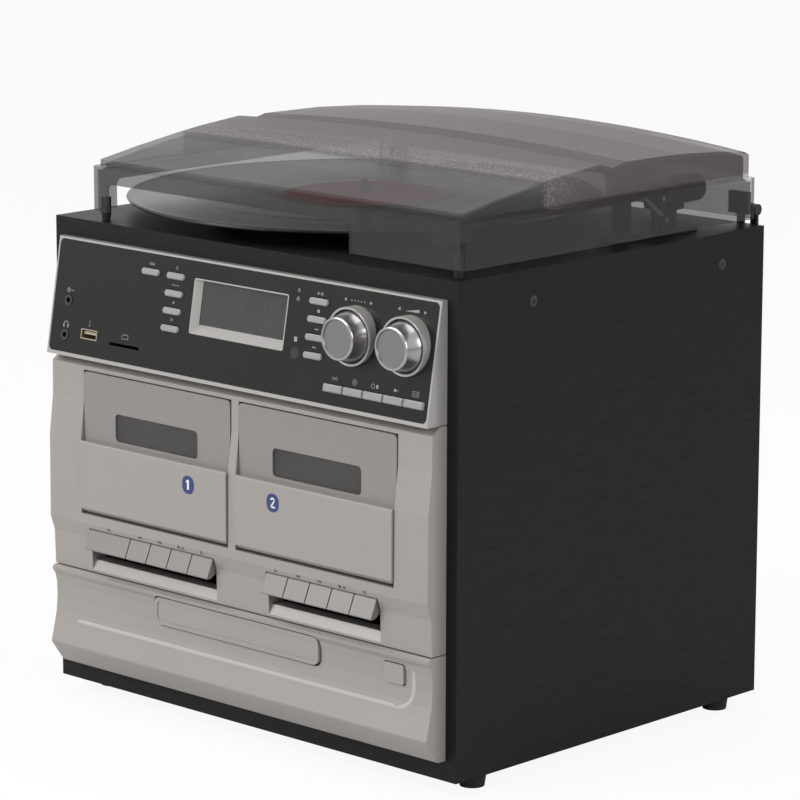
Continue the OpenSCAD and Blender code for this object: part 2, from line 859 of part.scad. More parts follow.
// The clear window, which drops into its door from behind
module window(d) {
    color("#6e7276")
    slab_y(deck_x(d), pane_z, pane_w - 0.2, pane_h - 0.2, 2.9, door_face + pane_set,
        door_face + pane_set + pane_t);
    color("#6e7276")
    slab_y(deck_x(d), pane_z, pane_w + 2.8, pane_h + 2.8, 3.9, door_face + pane_set + pane_t,
        door_back);
}

// A deck's well with its reel drives, tape head and rollers, and the keys' rod below it
module tape_mechanism(d) {
    x = deck_x(d);
    head_w = 14;
    head_h = 9;
    capstan_r = 1;
    roller_r = 5.5;
    roller_x = 21;
    hanger_t = 3;
    color("#2a2a2c") {
        difference() {
            block([x - well_w / 2 + 0.2, 0.2, well_z0 + 0.2],
                [x + well_w / 2 - 0.2, well_back, well_z1 - 0.2]);
            block([x - well_w / 2 + well_wall, -1, well_z0 + well_wall],
                [x + well_w / 2 - well_wall, well_depth, well_z1 - well_wall]);
        }
        for (s = [-1, 1]) {
            // Ribbed reel drives
            rod_y(x + s * hub_gap / 2, hub_z, hub_r + 2.6, well_depth - 2, well_depth);
            rod_y(x + s * hub_gap / 2, hub_z, hub_r - 1.2, well_depth - hub_tip, well_depth);
            for (a = [0, 120, 240])
                translate([x + s * hub_gap / 2, 0, hub_z])
                rotate([0, a, 0])
                    block([0, well_depth - hub_tip + 2, -0.6], [hub_r, well_depth, 0.6]);
            // Rubber pinch rollers beside the head
            rod_y(x + s * roller_x, door_z0 + 8.5, roller_r, well_depth - 7.5, well_depth);
            rod_y(x + s * roller_x, door_z0 + 8.5, capstan_r, well_depth - 9, well_depth);
        }
        // Record and playback head
        block([x - head_w / 2, well_depth - 9, well_z0 + well_wall],
            [x + head_w / 2, well_depth, well_z0 + well_wall + head_h]);
    }
    color("#8f9093") {
        rod_x(key_rod_y, key_rod_z, key_rod_r, bay_x0(d) - 2 * hanger_t, bay_x1(d) + 2 * hanger_t);
        for (e = [bay_x0(d) - hanger_t, bay_x1(d)])
            block([e, key_rod_y - 4, key_rod_z - 4], [e + hanger_t, key_rod_y + 4, well_z0 + 0.2]);
    }
}

// A piano key: a sloping cap on a lever that turns on the rod behind the baffle
module tape_key(d, i) {
    x0 = key_left(d, i) + key_gap / 2;
    x1 = key_left(d, i) + key_w(d, i) - key_gap / 2;
    xm = (x0 + x1) / 2;
    color("#9d9c99")
    difference() {
        union() {
            along_x([[key_top_y + 5, key_z1], [key_top_y, key_z1], [key_top_y - 0.8, key_z1 - 0.8],
                [key_low_y, key_z0 + 0.6], [key_low_y + 0.5, key_z0], [key_low_y + 3.2, key_z0],
                [key_top_y + 5, key_z0 + 4]], x0, x1);
            block([xm - lever_w / 2, key_top_y + 3, key_rod_z - lever_t / 2],
                [xm + lever_w / 2, key_rod_y, key_rod_z + lever_t / 2]);
            rod_x(key_rod_y, key_rod_z, key_rod_r + 2, xm - lever_w / 2, xm + lever_w / 2);
        }
        rod_x(key_rod_y, key_rod_z, key_rod_r + running, xm - far, xm + far);
    }
}

// ------------------------------------------------------------- disc panel

module cd_fascia() {
    outline = [[0, cd_z1], [-13, cd_z1], [-15, cd_z1 - 1.5], [-14.6, cd_z1 - 3.5],
        [-12.6, cd_z1 - 6.5], [-11.4, cd_z1 - 12], [-11.2, cd_z1 - 21], [-12, cd_z1 - 30],
        [-13.5, cd_z1 - 37], [-16.3, cd_z1 - 48], [-16.7, cd_z1 - 49.5], [-16.3, cd_z1 - 51],
        [-7, cd_z0 + 0.6], [-6, cd_z0], [0, cd_z0]];
    color("#aeadaa")
    difference() {
        along_x(outline, -fascia_w / 2, fascia_w / 2);
        slab_y(drawer_x, drawer_z, drawer_w + 2 * drawer_gap, drawer_h + 2 * drawer_gap,
            drawer_corner + drawer_gap, -far, 1);
        slab_y(eject_x, eject_z, eject_w + 2 * eject_gap, eject_h + 2 * eject_gap, 1.5, -far, 1);
    }
}

module cd_tray() {
    color("#b4b3b0")
    difference() {
        slab_y(drawer_x, drawer_z, drawer_w, drawer_h, drawer_corner, drawer_face, tray_y0);
        // Shallow panel inside the front's edge
        slab_y(drawer_x, drawer_z, drawer_w - 5, drawer_h - 5, drawer_corner - 2, -far,
            drawer_face + 0.5);
    }
    color("#2a2a2c")
    difference() {
        block([drawer_x - tray_w / 2, tray_y0, tray_z0],
            [drawer_x + tray_w / 2, tray_y0 + tray_len, tray_z0 + tray_t]);
        translate([drawer_x, disc_y, tray_z0 + tray_t - disc_depth])
            cylinder(r = disc_r, h = far, $fn = 96);
        translate([drawer_x, disc_y, tray_z0 + tray_t - disc_depth - small_disc_depth])
            cylinder(r = small_disc_r, h = far, $fn = 96);
        translate([drawer_x, disc_y, 0]) cylinder(r = 17, h = far);
        block([drawer_x - 17, disc_y, 0], [drawer_x + 17, disc_y + 62, far]);
    }
}

module eject_button() {
    color("#b4b3b0") {
        slab_y(eject_x, eject_z, eject_w, eject_h, 1.4, eject_face, -1 - eject_travel);
        slab_y(eject_x, eject_z, 6, 6, 1, -2 - eject_travel, board_mount_y - fit - eject_travel);
    }
}

board_mount_y = baffle_t - 6;

// The drawer's housing, open at the front, on two legs that stand on the base
module disc_loader() {
    leg_w = 12;
    leg_y = 96;
    turntable_r = 13;
    color("#3a3a3c") {
        difference() {
            block([drawer_x - loader_w / 2 + 0.2, 0.2, loader_z0 + 0.2],
                [drawer_x + loader_w / 2 - 0.2, loader_len, loader_z1 - 0.2]);
            block([drawer_x - tray_w / 2 - fit, -1, tray_z0 - fit],
                [drawer_x + tray_w / 2 + fit, loader_len - loader_wall, loader_z1 - loader_wall]);
        }
        translate([drawer_x, disc_y, loader_z1 - loader_wall - 4]) cylinder(r = turntable_r, h = 4);
        for (s = [-1, 1])
            block([drawer_x + s * (loader_w / 2 - leg_w) - leg_w / 2, leg_y, board_t],
                [drawer_x + s * (loader_w / 2 - leg_w) + leg_w / 2, leg_y + leg_w, loader_z0 + 0.2]);
    }
}

module play_mechanisms() {
    for (d = decks) tape_mechanism(d);
    disc_loader();
}

// ---------------------------------------------------------------- boards

main_x0 = -112;
main_x1 = 92;
main_y0 = 176;
main_y1 = 250;
main_z = board_t + 8;
transformer_w = 52;
transformer_d = 44;
transformer_h = 40;

module circuit_boards() {
    // Main board on its pillars, with its heat sink and capacitors
    color("#2f5a3a") {
        block([main_x0, main_y0, main_z], [main_x1, main_y1, main_z + pcb_t]);
        for (x = [main_x0 + 6, main_x1 - 6], y = [main_y0 + 6, main_y1 - 6])
            translate([x, y, board_t]) cylinder(r = 3, h = main_z - board_t);
    }
    color("#8f9093")
    for (i = [0:7])
        block([main_x0 + 12 + i * 5, main_y0 + 30, main_z + pcb_t],
            [main_x0 + 13.6 + i * 5, main_y0 + 60, main_z + pcb_t + 24]);
    color("#20242c")
    for (i = [0:3])
        translate([main_x0 + 70 + i * 22, main_y0 + 20, main_z + pcb_t])
            cylinder(r = 7, h = 22);
    // Transformer on the base
    color("#6b5a3c") {
        block([main_x1 + 8, main_y0 + 6, board_t], [main_x1 + 8 + transformer_w,
            main_y0 + 6 + transformer_d, board_t + transformer_h]);
        block([main_x1 + 14, main_y0, board_t + 8], [main_x1 + 2 + transformer_w,
            main_y0 + 12 + transformer_d, board_t + transformer_h - 8]);
    }
    control_board();
}

// The board behind the display, with the buttons' switches and the knobs' controls
module control_board() {
    z = disp_z0 + knob_rise;
    color("#2f5a3a") {
        difference() {
            on_face(0, 0)
                block([-display_open_x + 16, 6, -board_back],
                    [display_open_x - 4, face_h - 9, pcb_t - board_back]);
            for (x = [tuning_x, volume_x]) rod_y(x, z, pot_r + 0.4, -far, far);
            on_face(usb_x, usb_rise) cube([usb_w + 1, usb_h + 1, far], center = true);
            on_face(card_x, card_rise) cube([card_w + 5, card_h + 5, far], center = true);
        }
        for (i = [0:8]) on_face(pill_x(i), pill_up(i)) tact_switch();
        for (i = [1:5]) on_face(function_x(i), key_row_rise) tact_switch();
    }
    color("#2a2a2c")
    on_face(lcd_x, lcd_rise)
        translate([0, glass_up, -(board_back - pcb_t + bezel_depth + 0.1) / 2])
        cube([glass_w - 2, glass_h - 2, board_back - pcb_t - bezel_depth - 0.1], center = true);
    color("#8f9093")
    for (x = [tuning_x, volume_x])
        difference() {
            union() {
                rod_y(x, z, pot_neck_r, knob_y(knob_rise) - 1, knob_y(knob_rise) + 6);
                rod_y(x, z, pot_r, knob_y(knob_rise) + 5, knob_y(knob_rise) + 17);
            }
            rod_y(x, z, knob_shaft_r + running, -far, shaft_back + fit);
        }
}

module tact_switch() {
    translate([0, 0, -board_back + pcb_t + switch_h / 2]) cube([4.4, 3.6, switch_h], center = true);
}

// -------------------------------------------------------------- turntable

module on_platter(z) translate([platter_x, platter_y, z]) children();

module platter_motor() {
    color("#8f9093")
    translate([pulley_x, pulley_y, top_z - motor_h]) {
        cylinder(r = motor_r, h = motor_h);
        cylinder(r = 3, h = motor_h + 2);
        cylinder(r = motor_shaft_r, h = motor_h + board_t + platter_gap + belt_h + 0.6);
    }
}

module motor_pulley() {
    lip = 1;
    color("#b89a4e")
    translate([pulley_x, pulley_y, belt_z0 - lip - 0.2])
    difference() {
        rotate_extrude() polygon([[0, 0], [pulley_r + 1, 0], [pulley_r + 1, lip],
            [pulley_r, lip + 0.2], [pulley_r, lip + 0.2 + belt_h], [pulley_r + 1,
            belt_h + lip + 0.4], [pulley_r + 1, belt_h + 2 * lip], [0, belt_h + 2 * lip]]);
        translate([0, 0, -1]) cylinder(r = motor_shaft_r + running, h = belt_h + 4);
    }
}

// Area inside a belt that runs round the drive ring and the pulley
module belt_loop(grow) {
    a = acos((ring_r - pulley_r) / pulley_dist);
    r0 = ring_r + grow;
    r1 = pulley_r + grow;
    steps = 40;
    polygon(concat(
        [for (i = [0:steps]) let (t = a + (360 - 2 * a) * i / steps) [r0 * cos(t), r0 * sin(t)]],
        [for (i = [0:steps / 2]) let (t = -a + 4 * a * i / steps)
            [pulley_dist + r1 * cos(t), r1 * sin(t)]]));
}

module drive_belt() {
    color("#101011")
    on_platter(belt_z0)
    rotate([0, 0, pulley_angle])
    linear_extrude(belt_h)
    difference() {
        belt_loop(belt_t + fit);
        belt_loop(fit);
    }
}

module platter() {
    top = platter_h - mat_t;
    color("#3a3a3c")
    on_platter(platter_z0)
    difference() {
        union() {
            // Web with its outer rim and drive ring
            rotate_extrude($fn = 96) polygon([[0, top - plate_web], [ring_r - ring_t, top - plate_web],
                [ring_r - ring_t, 0.2], [ring_r, 0.2], [ring_r, top - plate_web],
                [platter_r - rim_t, top - plate_web], [platter_r - rim_t, 1.4],
                [platter_r - 0.6, 1.4], [platter_r, 2], [platter_r, top - 0.8],
                [platter_r - 0.8, top], [0, top]]);
            translate([0, 0, 0.2 - platter_gap + bush_flange_h + 1]) cylinder(r = 9, h = top);
        }
        translate([0, 0, -far / 2]) cylinder(r = spindle_shaft_r, h = far);
    }
    // Rubber mat with its rings
    color("#151516")
    on_platter(platter_z0 + top)
    difference() {
        cylinder(r = platter_r - 2, h = mat_t, $fn = 96);
        cylinder(r = spindle_r + 0.2, h = far, center = true);
        for (r = [label_r + 4, label_r + 18, label_r + 32])
            translate([0, 0, mat_t - 0.4])
                rotate_extrude($fn = 96) translate([r, 0]) square([2, 1]);
    }
    // Spindle, which runs down into the bush
    color("#b9bbc0")
    on_platter(top_z - 3) {
        cylinder(r = spindle_shaft_r, h = platter_z0 + top - top_z + 3);
        translate([0, 0, platter_z0 + top - top_z + 3])
            cylinder(r = spindle_r, h = spindle_top - 3 - platter_z0 - top);
        translate([0, 0, spindle_top - top_z])
            cylinder(r1 = spindle_r, r2 = spindle_r - 1.6, h = 3);
    }
}

// The record: thin playing area, thicker label and a rounded edge
module record() {
    groove_in = 58;
    dip = 0.3;
    color("#0d0d0e")
    on_platter(record_z0)
    difference() {
        rotate_extrude($fn = 96) polygon([[spindle_r + 0.15, 0], [label_r + 1, 0],
            [groove_in, dip], [record_r - 5, dip], [record_r - 3, 0], [record_r - 0.6, 0],
            [record_r, record_t / 2], [record_r - 0.6, record_t], [record_r - 3, record_t],
            [record_r - 5, record_t - dip], [groove_in, record_t - dip],
            [label_r + 1, record_t], [spindle_r + 0.15, record_t]]);
        translate([0, 0, record_t - 0.15]) rotate_extrude() translate([spindle_r + 0.15, 0])
            square([label_r - spindle_r, 1]);
    }
    color("#a3262a")
    on_platter(record_z1 - 0.15)
    difference() {
        cylinder(r = label_r, h = 0.15);
        cylinder(r = spindle_r + 0.15, h = 1, center = true);
    }
}

// ---------------------------------------------------------------- tonearm

module on_arm(z) translate([arm_x, arm_y, z]) children();

rest_y = arm_y - 42;
cue_x = arm_x + 15;
cue_y = arm_y - 20;
cue_z = cab_h + arm_base_h + 6;
cue_pin_r = 1.2;

module arm_base() {
    color("#1d1d1f") {
        on_arm(cab_h) {
            linear_extrude(arm_base_h) {
                circle(arm_base_r);
                translate([-8, -52]) square([26, 52]);
                translate([5, -52]) circle(13);
            }
            difference() {
                cylinder(r = arm_post_r, h = arm_post_top - cab_h);
                translate([0, 0, arm_base_h]) cylinder(r = yoke_shaft_r + running, h = far);
            }
        }
        // Arm rest: a post that the tube lies on, with a lip along its right side
        difference() {
            block([arm_x - 3, rest_y - 4, cab_h + arm_base_h - 0.5],
                [arm_x + arm_tube_r + 2.4, rest_y + 4, arm_z + 1]);
            block([arm_x - 20, rest_y - 5, arm_z - arm_tube_r - fit],
                [arm_x + arm_tube_r + fit, rest_y + 5, far + cab_h]);
        }
        // Ears that carry the cue lever
        for (x = [cue_x - 4.4, cue_x + 2])
            difference() {
                block([x, cue_y - 4, cab_h + arm_base_h - 0.5], [x + 2.4, cue_y + 4, cue_z + 3]);
                rod_x(cue_y, cue_z, cue_pin_r + running, -far, far);
            }
    }
}

yoke_shaft_r = 3;

module arm_yoke() {
    color("#8f9093") {
        on_arm(arm_post_top + fit) {
            cylinder(r = yoke_r, h = yoke_floor);
            translate([0, 0, 1 - (arm_post_top - cab_h - arm_base_h)])
                cylinder(r = yoke_shaft_r, h = arm_post_top - cab_h - arm_base_h);
        }
        for (s = [-1, 1])
            difference() {
                translate([arm_x + s * (ear_gap + ear_t) / 2, arm_y,
                    (arm_post_top + arm_z + 4) / 2 + 1])
                    cube([ear_t, 9, arm_z + 4 - arm_post_top - 1], center = true);
                rod_x(arm_y, arm_z, arm_pin_r + running, -far, far);
            }
    }
}

// The tonearm: tube, pivot pin, counterweight, headshell and cartridge
module tonearm() {
    shell_w = 15;
    shell_l = 34;
    weight_r = 9;
    color("#222224") {
        difference() {
            rod_y(arm_x, arm_z, arm_tube_r, arm_y - arm_len + 26, arm_y + 18);
            rod_y(arm_x, arm_z, arm_tube_r - 1, arm_y - arm_len + 30, arm_y - 12);
        }
        rod_x(arm_y, arm_z, arm_pin_r, arm_x - ear_gap / 2 - ear_t, arm_x + ear_gap / 2 + ear_t);
        rod_y(arm_x, arm_z, weight_r, arm_y + 14, arm_y + 30);
        // Headshell with its finger lift
        translate([arm_x, arm_y - arm_len + 12, arm_z - 1])
        linear_extrude(3, center = true)
        polygon([[-shell_w / 2, -14], [shell_w / 2, -14], [shell_w / 2, 6], [4, shell_l - 14],
            [-4, shell_l - 14], [-shell_w / 2, 6]]);
        block([arm_x + shell_w / 2, arm_y - arm_len, arm_z - 2.5],
            [arm_x + shell_w / 2 + 9, arm_y - arm_len + 4, arm_z - 1]);
        // Cartridge and its stylus guard
        block([arm_x - 6, arm_y - arm_len - 1, cartridge_z], [arm_x + 6, arm_y - arm_len + 20,
            arm_z - 2]);
    }
    color("#a3262a")
    along_x([[arm_y - arm_len - 3, cartridge_z - 1.4], [arm_y - arm_len - 3, cartridge_z + 2],
        [arm_y - arm_len - 1, cartridge_z + 2], [arm_y - arm_len - 1, cartridge_z],
        [arm_y - arm_len + 9, cartridge_z], [arm_y - arm_len + 9, cartridge_z - 0.6]],
        arm_x - 4, arm_x + 4);
}

cartridge_z = record_z1 + 1.9;

module cue_lever() {
    reach = 17;
    rise = 13;
    color("#222224") {
        rod_x(cue_y, cue_z, 3, cue_x - 1.7, cue_x + 1.7);
        along_x([[cue_y - 2.4, cue_z + 1.6], [cue_y + 1.6, cue_z + 2.4],
            [cue_y - reach + 2, cue_z + rise + 2], [cue_y - reach - 1, cue_z + rise + 1]],
            cue_x - 1.7, cue_x + 1.7);
        rod_x(cue_y, cue_z, cue_pin_r, cue_x - 4.4, cue_x + 4.4);
    }
}

// ------------------------------------------------------------- dust cover

// Height of the roof's side edges from front to rear: the front part climbs,
// a groove crosses the middle and the rear part falls away
edge_y = [0, 33, 66, 85, 121, 124, 133, 145, 195, 235, 259, 263];
edge_up = [33, 38.5, 43.2, 45.6, 48.7, 47.8, 45.4, 48.1, 47.4, 44.8, 42, 40];
roof_y0 = lid_y0 + 4;
roof_y1 = lid_y1 - 3;
roof_scale = (roof_y1 - roof_y0) / edge_y[len(edge_y) - 1];
arch_front = 4.7; // rise of the arch over the groove
arch_rear = 8; // and at the rear
arch_cells = 16;

function roof_edge(i) = lid_z0 + edge_up[i] - 0.4;
function arch(y) = let (t = (y - roof_y0) / (roof_y1 - roof_y0))
    t < 0.47 ? arch_front * sin(90 * t / 0.47)
    : arch_front + (arch_rear - arch_front) * (t - 0.47) / 0.53;

// Height of the skirt's upper edge
function rim_z(y) = lid_rim_front - skirt_fall * (y - lid_y0) / lid_d;

// Corners of the roof's grid, each surface shrunk by inset
function roof_x(j, inset) = let (x0 = lid_x0 + ledge_w + inset, x1 = lid_x1 - ledge_w - inset)
    x0 + (x1 - x0) * j / arch_cells;
function roof_y(i, inset) = i == 0 ? roof_y0 + inset
    : i == len(edge_y) - 1 ? roof_y1 - inset : roof_y0 + edge_y[i] * roof_scale;
function roof_top(i, j, inset) = let (u = 2 * j / arch_cells - 1)
    roof_edge(i) + arch(roof_y(i, inset)) * (1 - u * u) - inset;

// The arched roof: an outer and an inner grid, joined by a ring that sits in the ledge
module roof_shell() {
    last = len(edge_y) - 1;
    n = arch_cells + 1;
    // Walk round the grid's border, as row and column
    border = concat([for (j = [0:arch_cells - 1]) [0, j]],
        [for (i = [0:last - 1]) [i, arch_cells]],
        [for (j = [arch_cells:-1:1]) [last, j]], [for (i = [last:-1:1]) [i, 0]]);
    turn = len(border);
    m = n * (last + 1);
    points = [for (s = [0, lid_wall]) each concat(
        [for (i = [0:last], j = [0:arch_cells]) [roof_x(j, s), roof_y(i, s), roof_top(i, j, s)]],
        [for (b = border) [roof_x(b[1], s), roof_y(b[0], s),
            rim_z(roof_y(b[0], s)) - lid_wall / 2]])];
    // Number of a border point at the roof and at the base, and the step to the inner surface
    function top(q) = border[q % turn][0] * n + border[q % turn][1];
    function base(q) = m + q % turn;
    inner = m + turn;
    outside = concat(
        [for (i = [0:last - 1], j = [0:arch_cells - 1]) let (a = i * n + j)
            each [[a, a + n, a + n + 1], [a, a + n + 1, a + 1]]],
        [for (q = [0:turn - 1])
            each [[top(q), top(q + 1), base(q + 1)], [top(q), base(q + 1), base(q)]]]);
    inside = [for (f = outside) [f[2] + inner, f[1] + inner, f[0] + inner]];
    ring = [for (q = [0:turn - 1])
        each [[base(q), base(q + 1), base(q + 1) + inner],
            [base(q), base(q + 1) + inner, base(q) + inner]]];
    polyhedron(points, concat(outside, inside, ring), convexity = 6);
}

// The skirt's outer form, whose upper edge falls towards the rear
module skirt_body(inset, z0, drop) {
    intersection() {
        along_x([[lid_y0, z0], [lid_y0, lid_rim_front - drop], [lid_y1, lid_rim_rear - drop],
            [lid_y1, z0]], lid_x0, lid_x1);
        translate([lid_xc, (lid_y0 + lid_y1) / 2, 0])
            linear_extrude(far)
            round_rect(lid_w - 2 * inset, lid_d - 2 * inset, lid_corner - inset);
    }
}

// Openings that a record wider than the cover reaches through
function record_half(off) = sqrt(record_r * record_r - off * off);
record_play = 0.9;
slot_end_play = 4.5; // from the record's edge to the rear end of the left opening
slot_x0 = lid_x0 + 14.4;
slot_x1 = lid_x0 + 225;
slot_y0 = lid_y0 + 20;
slot_y1 = platter_y + record_half(platter_x - lid_x0 - lid_wall) + slot_end_play;
slot_back_x0 = platter_x - record_half(lid_y1 - lid_wall - platter_y) - record_play;
slot_back_x1 = platter_x + 94;

module dust_cover() {
    color("#6b6360") {
        difference() {
            skirt_body(0, lid_z0, 0);
            skirt_body(lid_wall, lid_z0 - 1, lid_wall);
            block([roof_x(0, lid_wall / 2), roof_y0 + lid_wall / 2, 0],
                [roof_x(arch_cells, lid_wall / 2), roof_y1 - lid_wall / 2, far + cab_h]);
            // Openings that a twelve inch record reaches through: front, rear and left
            slab_y((slot_back_x0 + slot_back_x1) / 2, slot_z1 - 33, slot_back_x1 - slot_back_x0,
                60, 4, lid_y1 - lid_wall - 1, far);
            slab_y((slot_x0 + slot_x1) / 2, slot_z1 - 30, slot_x1 - slot_x0, 60, 4, -far,
                lid_y0 + lid_wall + 1);
            translate([lid_x0, (slot_y0 + slot_y1) / 2, slot_z1 - 30])
                rotate([0, 90, 0])
                linear_extrude(2 * lid_wall + 2, center = true)
                round_rect(60, slot_y1 - slot_y0, 4);
        }
        roof_shell();
    }
}

// Black hinges: a leaf on the cover, a plate on the cabinet's rear and a pin
module hinge_brackets() {
    plate = 2;
    color("#151516")
    for (x = hinge_x) {
        block([x - hinge_w / 2, cab_d, cab_h - 24], [x + hinge_w / 2, cab_d + plate, cab_h - 3]);
        for (s = [-1, 1]) {
            k0 = x + s * hinge_w / 3 - hinge_w / 6;
            k1 = k0 + hinge_w / 3;
            rod_x(hinge_y, hinge_z, knuckle_r, k0, k1);
            block([k0, cab_d + 0.2, cab_h - 10], [k1, cab_d + plate, hinge_z]);
        }
        rod_x(hinge_y, hinge_z, hinge_pin_r, x - hinge_w / 2, x + hinge_w / 2);
    }
}

module hinge_leaves() {
    w = hinge_w / 3 - 2 * fit;
    leaf_t = 2;
    color("#151516")
    for (x = hinge_x)
        difference() {
            union() {
                rod_x(hinge_y, hinge_z, knuckle_r, x - w / 2, x + w / 2);
                block([x - w / 2, lid_y1 + leaf_t, hinge_z - 1], [x + w / 2, hinge_y,
                    hinge_z + knuckle_r]);
                block([x - hinge_w / 2, lid_y1 + 0.05, hinge_z - 2],
                    [x + hinge_w / 2, lid_y1 + leaf_t + 0.4, hinge_z + 12]);
            }
            rod_x(hinge_y, hinge_z, hinge_pin_r + running, -far, far);
        }
}

// Rubber feet that the closed cover stands on
module cover_buffers() {
    color("#151516")
    for (x = [lid_x0 + 8, lid_x1 - 9])
        translate([x, lid_y0 + 5.6, cab_h + 0.1]) {
            cylinder(r1 = 2.6, r2 = 3.2, h = lid_gap - 0.1);
            translate([0, 0, lid_gap - 0.1]) cylinder(r = 3.2, h = 9);
        }
}

// ------------------------------------------------------------- everything

placed() base_board();
placed() side_panels();
placed() top_board();
placed() front_baffle();
placed() rear_panel();
placed() feet();
placed() panel_screws();
placed() display_frame();
placed() display_fascia();
placed() display_windows();
placed() sockets();
placed() cassette_fascia();
placed() cd_fascia();
placed() play_mechanisms();
placed() circuit_boards();
placed() platter_motor();
placed() motor_pulley();
placed() drive_belt();
placed() platter();
placed() record();
placed() arm_base();
placed() arm_yoke();
placed() tonearm();
placed() cue_lever();
placed() dust_cover();
placed() hinge_brackets();
placed() hinge_leaves();
placed() cover_buffers();
placed() door(1);  // door_1
placed() window(1);  // window_1
placed() door(2);  // door_2
placed() window(2);  // window_2
placed() cd_tray();
placed() eject_button();
placed() knob(tuning_x);  // tuning_knob
placed() knob(volume_x);  // volume_knob
placed() pill_button(0);  // menu_button
placed() pill_button(1);  // left_button_1
placed() pill_button(2);  // left_button_2
placed() pill_button(3);  // left_button_3
placed() pill_button(4);  // left_button_4
placed() pill_button(5);  // right_button_1
placed() pill_button(6);  // right_button_2
placed() pill_button(7);  // right_button_3
placed() pill_button(8);  // right_button_4
placed() function_button(1);  // function_button_1
placed() function_button(2);  // function_button_2
placed() function_button(3);  // function_button_3
placed() function_button(4);  // function_button_4
placed() function_button(5);  // function_button_5
placed() tape_key(1, 1);  // deck_1_key_1
placed() tape_key(1, 2);  // deck_1_key_2
placed() tape_key(1, 3);  // deck_1_key_3
placed() tape_key(1, 4);  // deck_1_key_4
placed() tape_key(1, 5);  // deck_1_key_5
placed() tape_key(2, 1);  // deck_2_key_1
placed() tape_key(2, 2);  // deck_2_key_2
placed() tape_key(2, 3);  // deck_2_key_3
placed() tape_key(2, 4);  // deck_2_key_4
placed() tape_key(2, 5);  // deck_2_key_5
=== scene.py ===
"""Looks of a stereo music centre: black cabinet, silver front panels and a smoke tinted cover."""
import math

import bmesh
import bpy
from mathutils import Matrix, Vector


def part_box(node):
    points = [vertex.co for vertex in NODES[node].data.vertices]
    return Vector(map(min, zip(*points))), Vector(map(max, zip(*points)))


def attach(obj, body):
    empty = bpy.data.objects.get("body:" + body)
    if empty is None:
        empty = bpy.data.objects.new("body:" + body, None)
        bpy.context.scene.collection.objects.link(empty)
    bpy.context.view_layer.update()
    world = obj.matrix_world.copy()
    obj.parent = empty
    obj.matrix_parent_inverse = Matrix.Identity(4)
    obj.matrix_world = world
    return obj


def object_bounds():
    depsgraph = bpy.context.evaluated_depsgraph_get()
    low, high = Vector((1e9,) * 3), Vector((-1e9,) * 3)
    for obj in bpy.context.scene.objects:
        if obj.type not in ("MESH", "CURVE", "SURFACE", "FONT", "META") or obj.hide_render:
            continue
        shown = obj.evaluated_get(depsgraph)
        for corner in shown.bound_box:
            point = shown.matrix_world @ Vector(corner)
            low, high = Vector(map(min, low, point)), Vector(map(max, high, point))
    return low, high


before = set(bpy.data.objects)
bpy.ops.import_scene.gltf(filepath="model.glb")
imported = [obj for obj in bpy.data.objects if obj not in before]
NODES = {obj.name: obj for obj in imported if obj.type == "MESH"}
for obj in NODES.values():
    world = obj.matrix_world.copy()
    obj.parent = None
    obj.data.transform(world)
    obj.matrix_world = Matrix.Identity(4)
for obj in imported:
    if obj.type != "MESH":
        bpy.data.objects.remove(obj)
cad_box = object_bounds()

# Lengths below are millimetres in the cabinet's own place: X = 0 in its middle,
# Y = 0 on the front of the baffle and Z = 0 at the cabinet's underside.
MM = 0.001
baffle_low, baffle_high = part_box("front_baffle")
HOME = Vector(((baffle_low[0] + baffle_high[0]) / 2, baffle_low[1], baffle_low[2]))

# The display face leans back from the bottom of its frame
DISPLAY_TILT = math.radians(9.85)
DISPLAY_OUT = 17.0
DISPLAY_Z0 = 214.9
FACE_UP = Vector((0, math.sin(DISPLAY_TILT), math.cos(DISPLAY_TILT)))
FACE_OUT = Vector((0, -math.cos(DISPLAY_TILT), math.sin(DISPLAY_TILT)))
LCD_X, LCD_RISE, LCD_DEPTH, LCD_UP = 1.5, 44.85, 3.5, 2.3
KNOBS = {"tuning_knob": 98.3, "volume_knob": 141.7}
KNOB_RISE = 44.7
PLATTER = (-42.0, 145.0)
LABEL_R = 50.0
GROOVES_IN, GROOVES_OUT, GROOVE_PITCH = 59.0, 146.5, 0.62
KNOB_FACE_R = 11.6

# Doors: where the leaning half starts, and with it the painted shade on the silver, the front of
# the lower half and the badges' places
DOOR_LEAN_SHADE_Z = (161.9, 162.9)
DOOR_FRONT_Y = -17.1
BADGES = (("door_1", -35.7, 149.7, "1"), ("door_2", 37.8, 150.5, "2"))
BADGE_RX, BADGE_RZ = 5.2, 5.7

# The ridge on the disc panel runs along its foot and turns up beside the disc button
RIDGE_LEFT, RIDGE_RIGHT = -147.0, 149.0
RIDGE_Z, RIDGE_TOP = 43.0, 70.0
RIDGE_TURN = 12.0
RIDGE_WIDTH, RIDGE_HEIGHT = 2.6, 0.3
RIDGE_STEP, RIDGE_FADE = 3.0, 5.0
RAY_START_Y = -80.0

# The share of the floor that shines by itself to the camera; the rest keeps the shadow
FLOOR_GLOW = 0.92
FLOOR_COLOR = (0.86, 0.86, 0.86, 1)
FLOOR_HALF, FLOOR_SINK = 30.0, 0.0002
FILL_LEVEL = 0.42

# Colours, as linear values
BLACK_VINYL = (0.0092, 0.0084, 0.0090)
SILVER = (0.335, 0.312, 0.294)
BRIGHT_SILVER = (0.320, 0.312, 0.305)
FACE_BLACK = (0.0085, 0.0086, 0.0080)
RECORD_BLACK = (0.010, 0.0098, 0.0096)
LABEL_RED = (0.46, 0.030, 0.022)
SMOKE = (0.066, 0.060, 0.058)
MARK_GREY = (0.30, 0.295, 0.285)
MARK_DARK = (0.055, 0.053, 0.052)
BADGE_BLUE = (0.014, 0.036, 0.15)


def at(x, y, z):
    """A point of the cabinet, in the frame's metres."""
    return HOME + Vector((x, y, z)) * MM


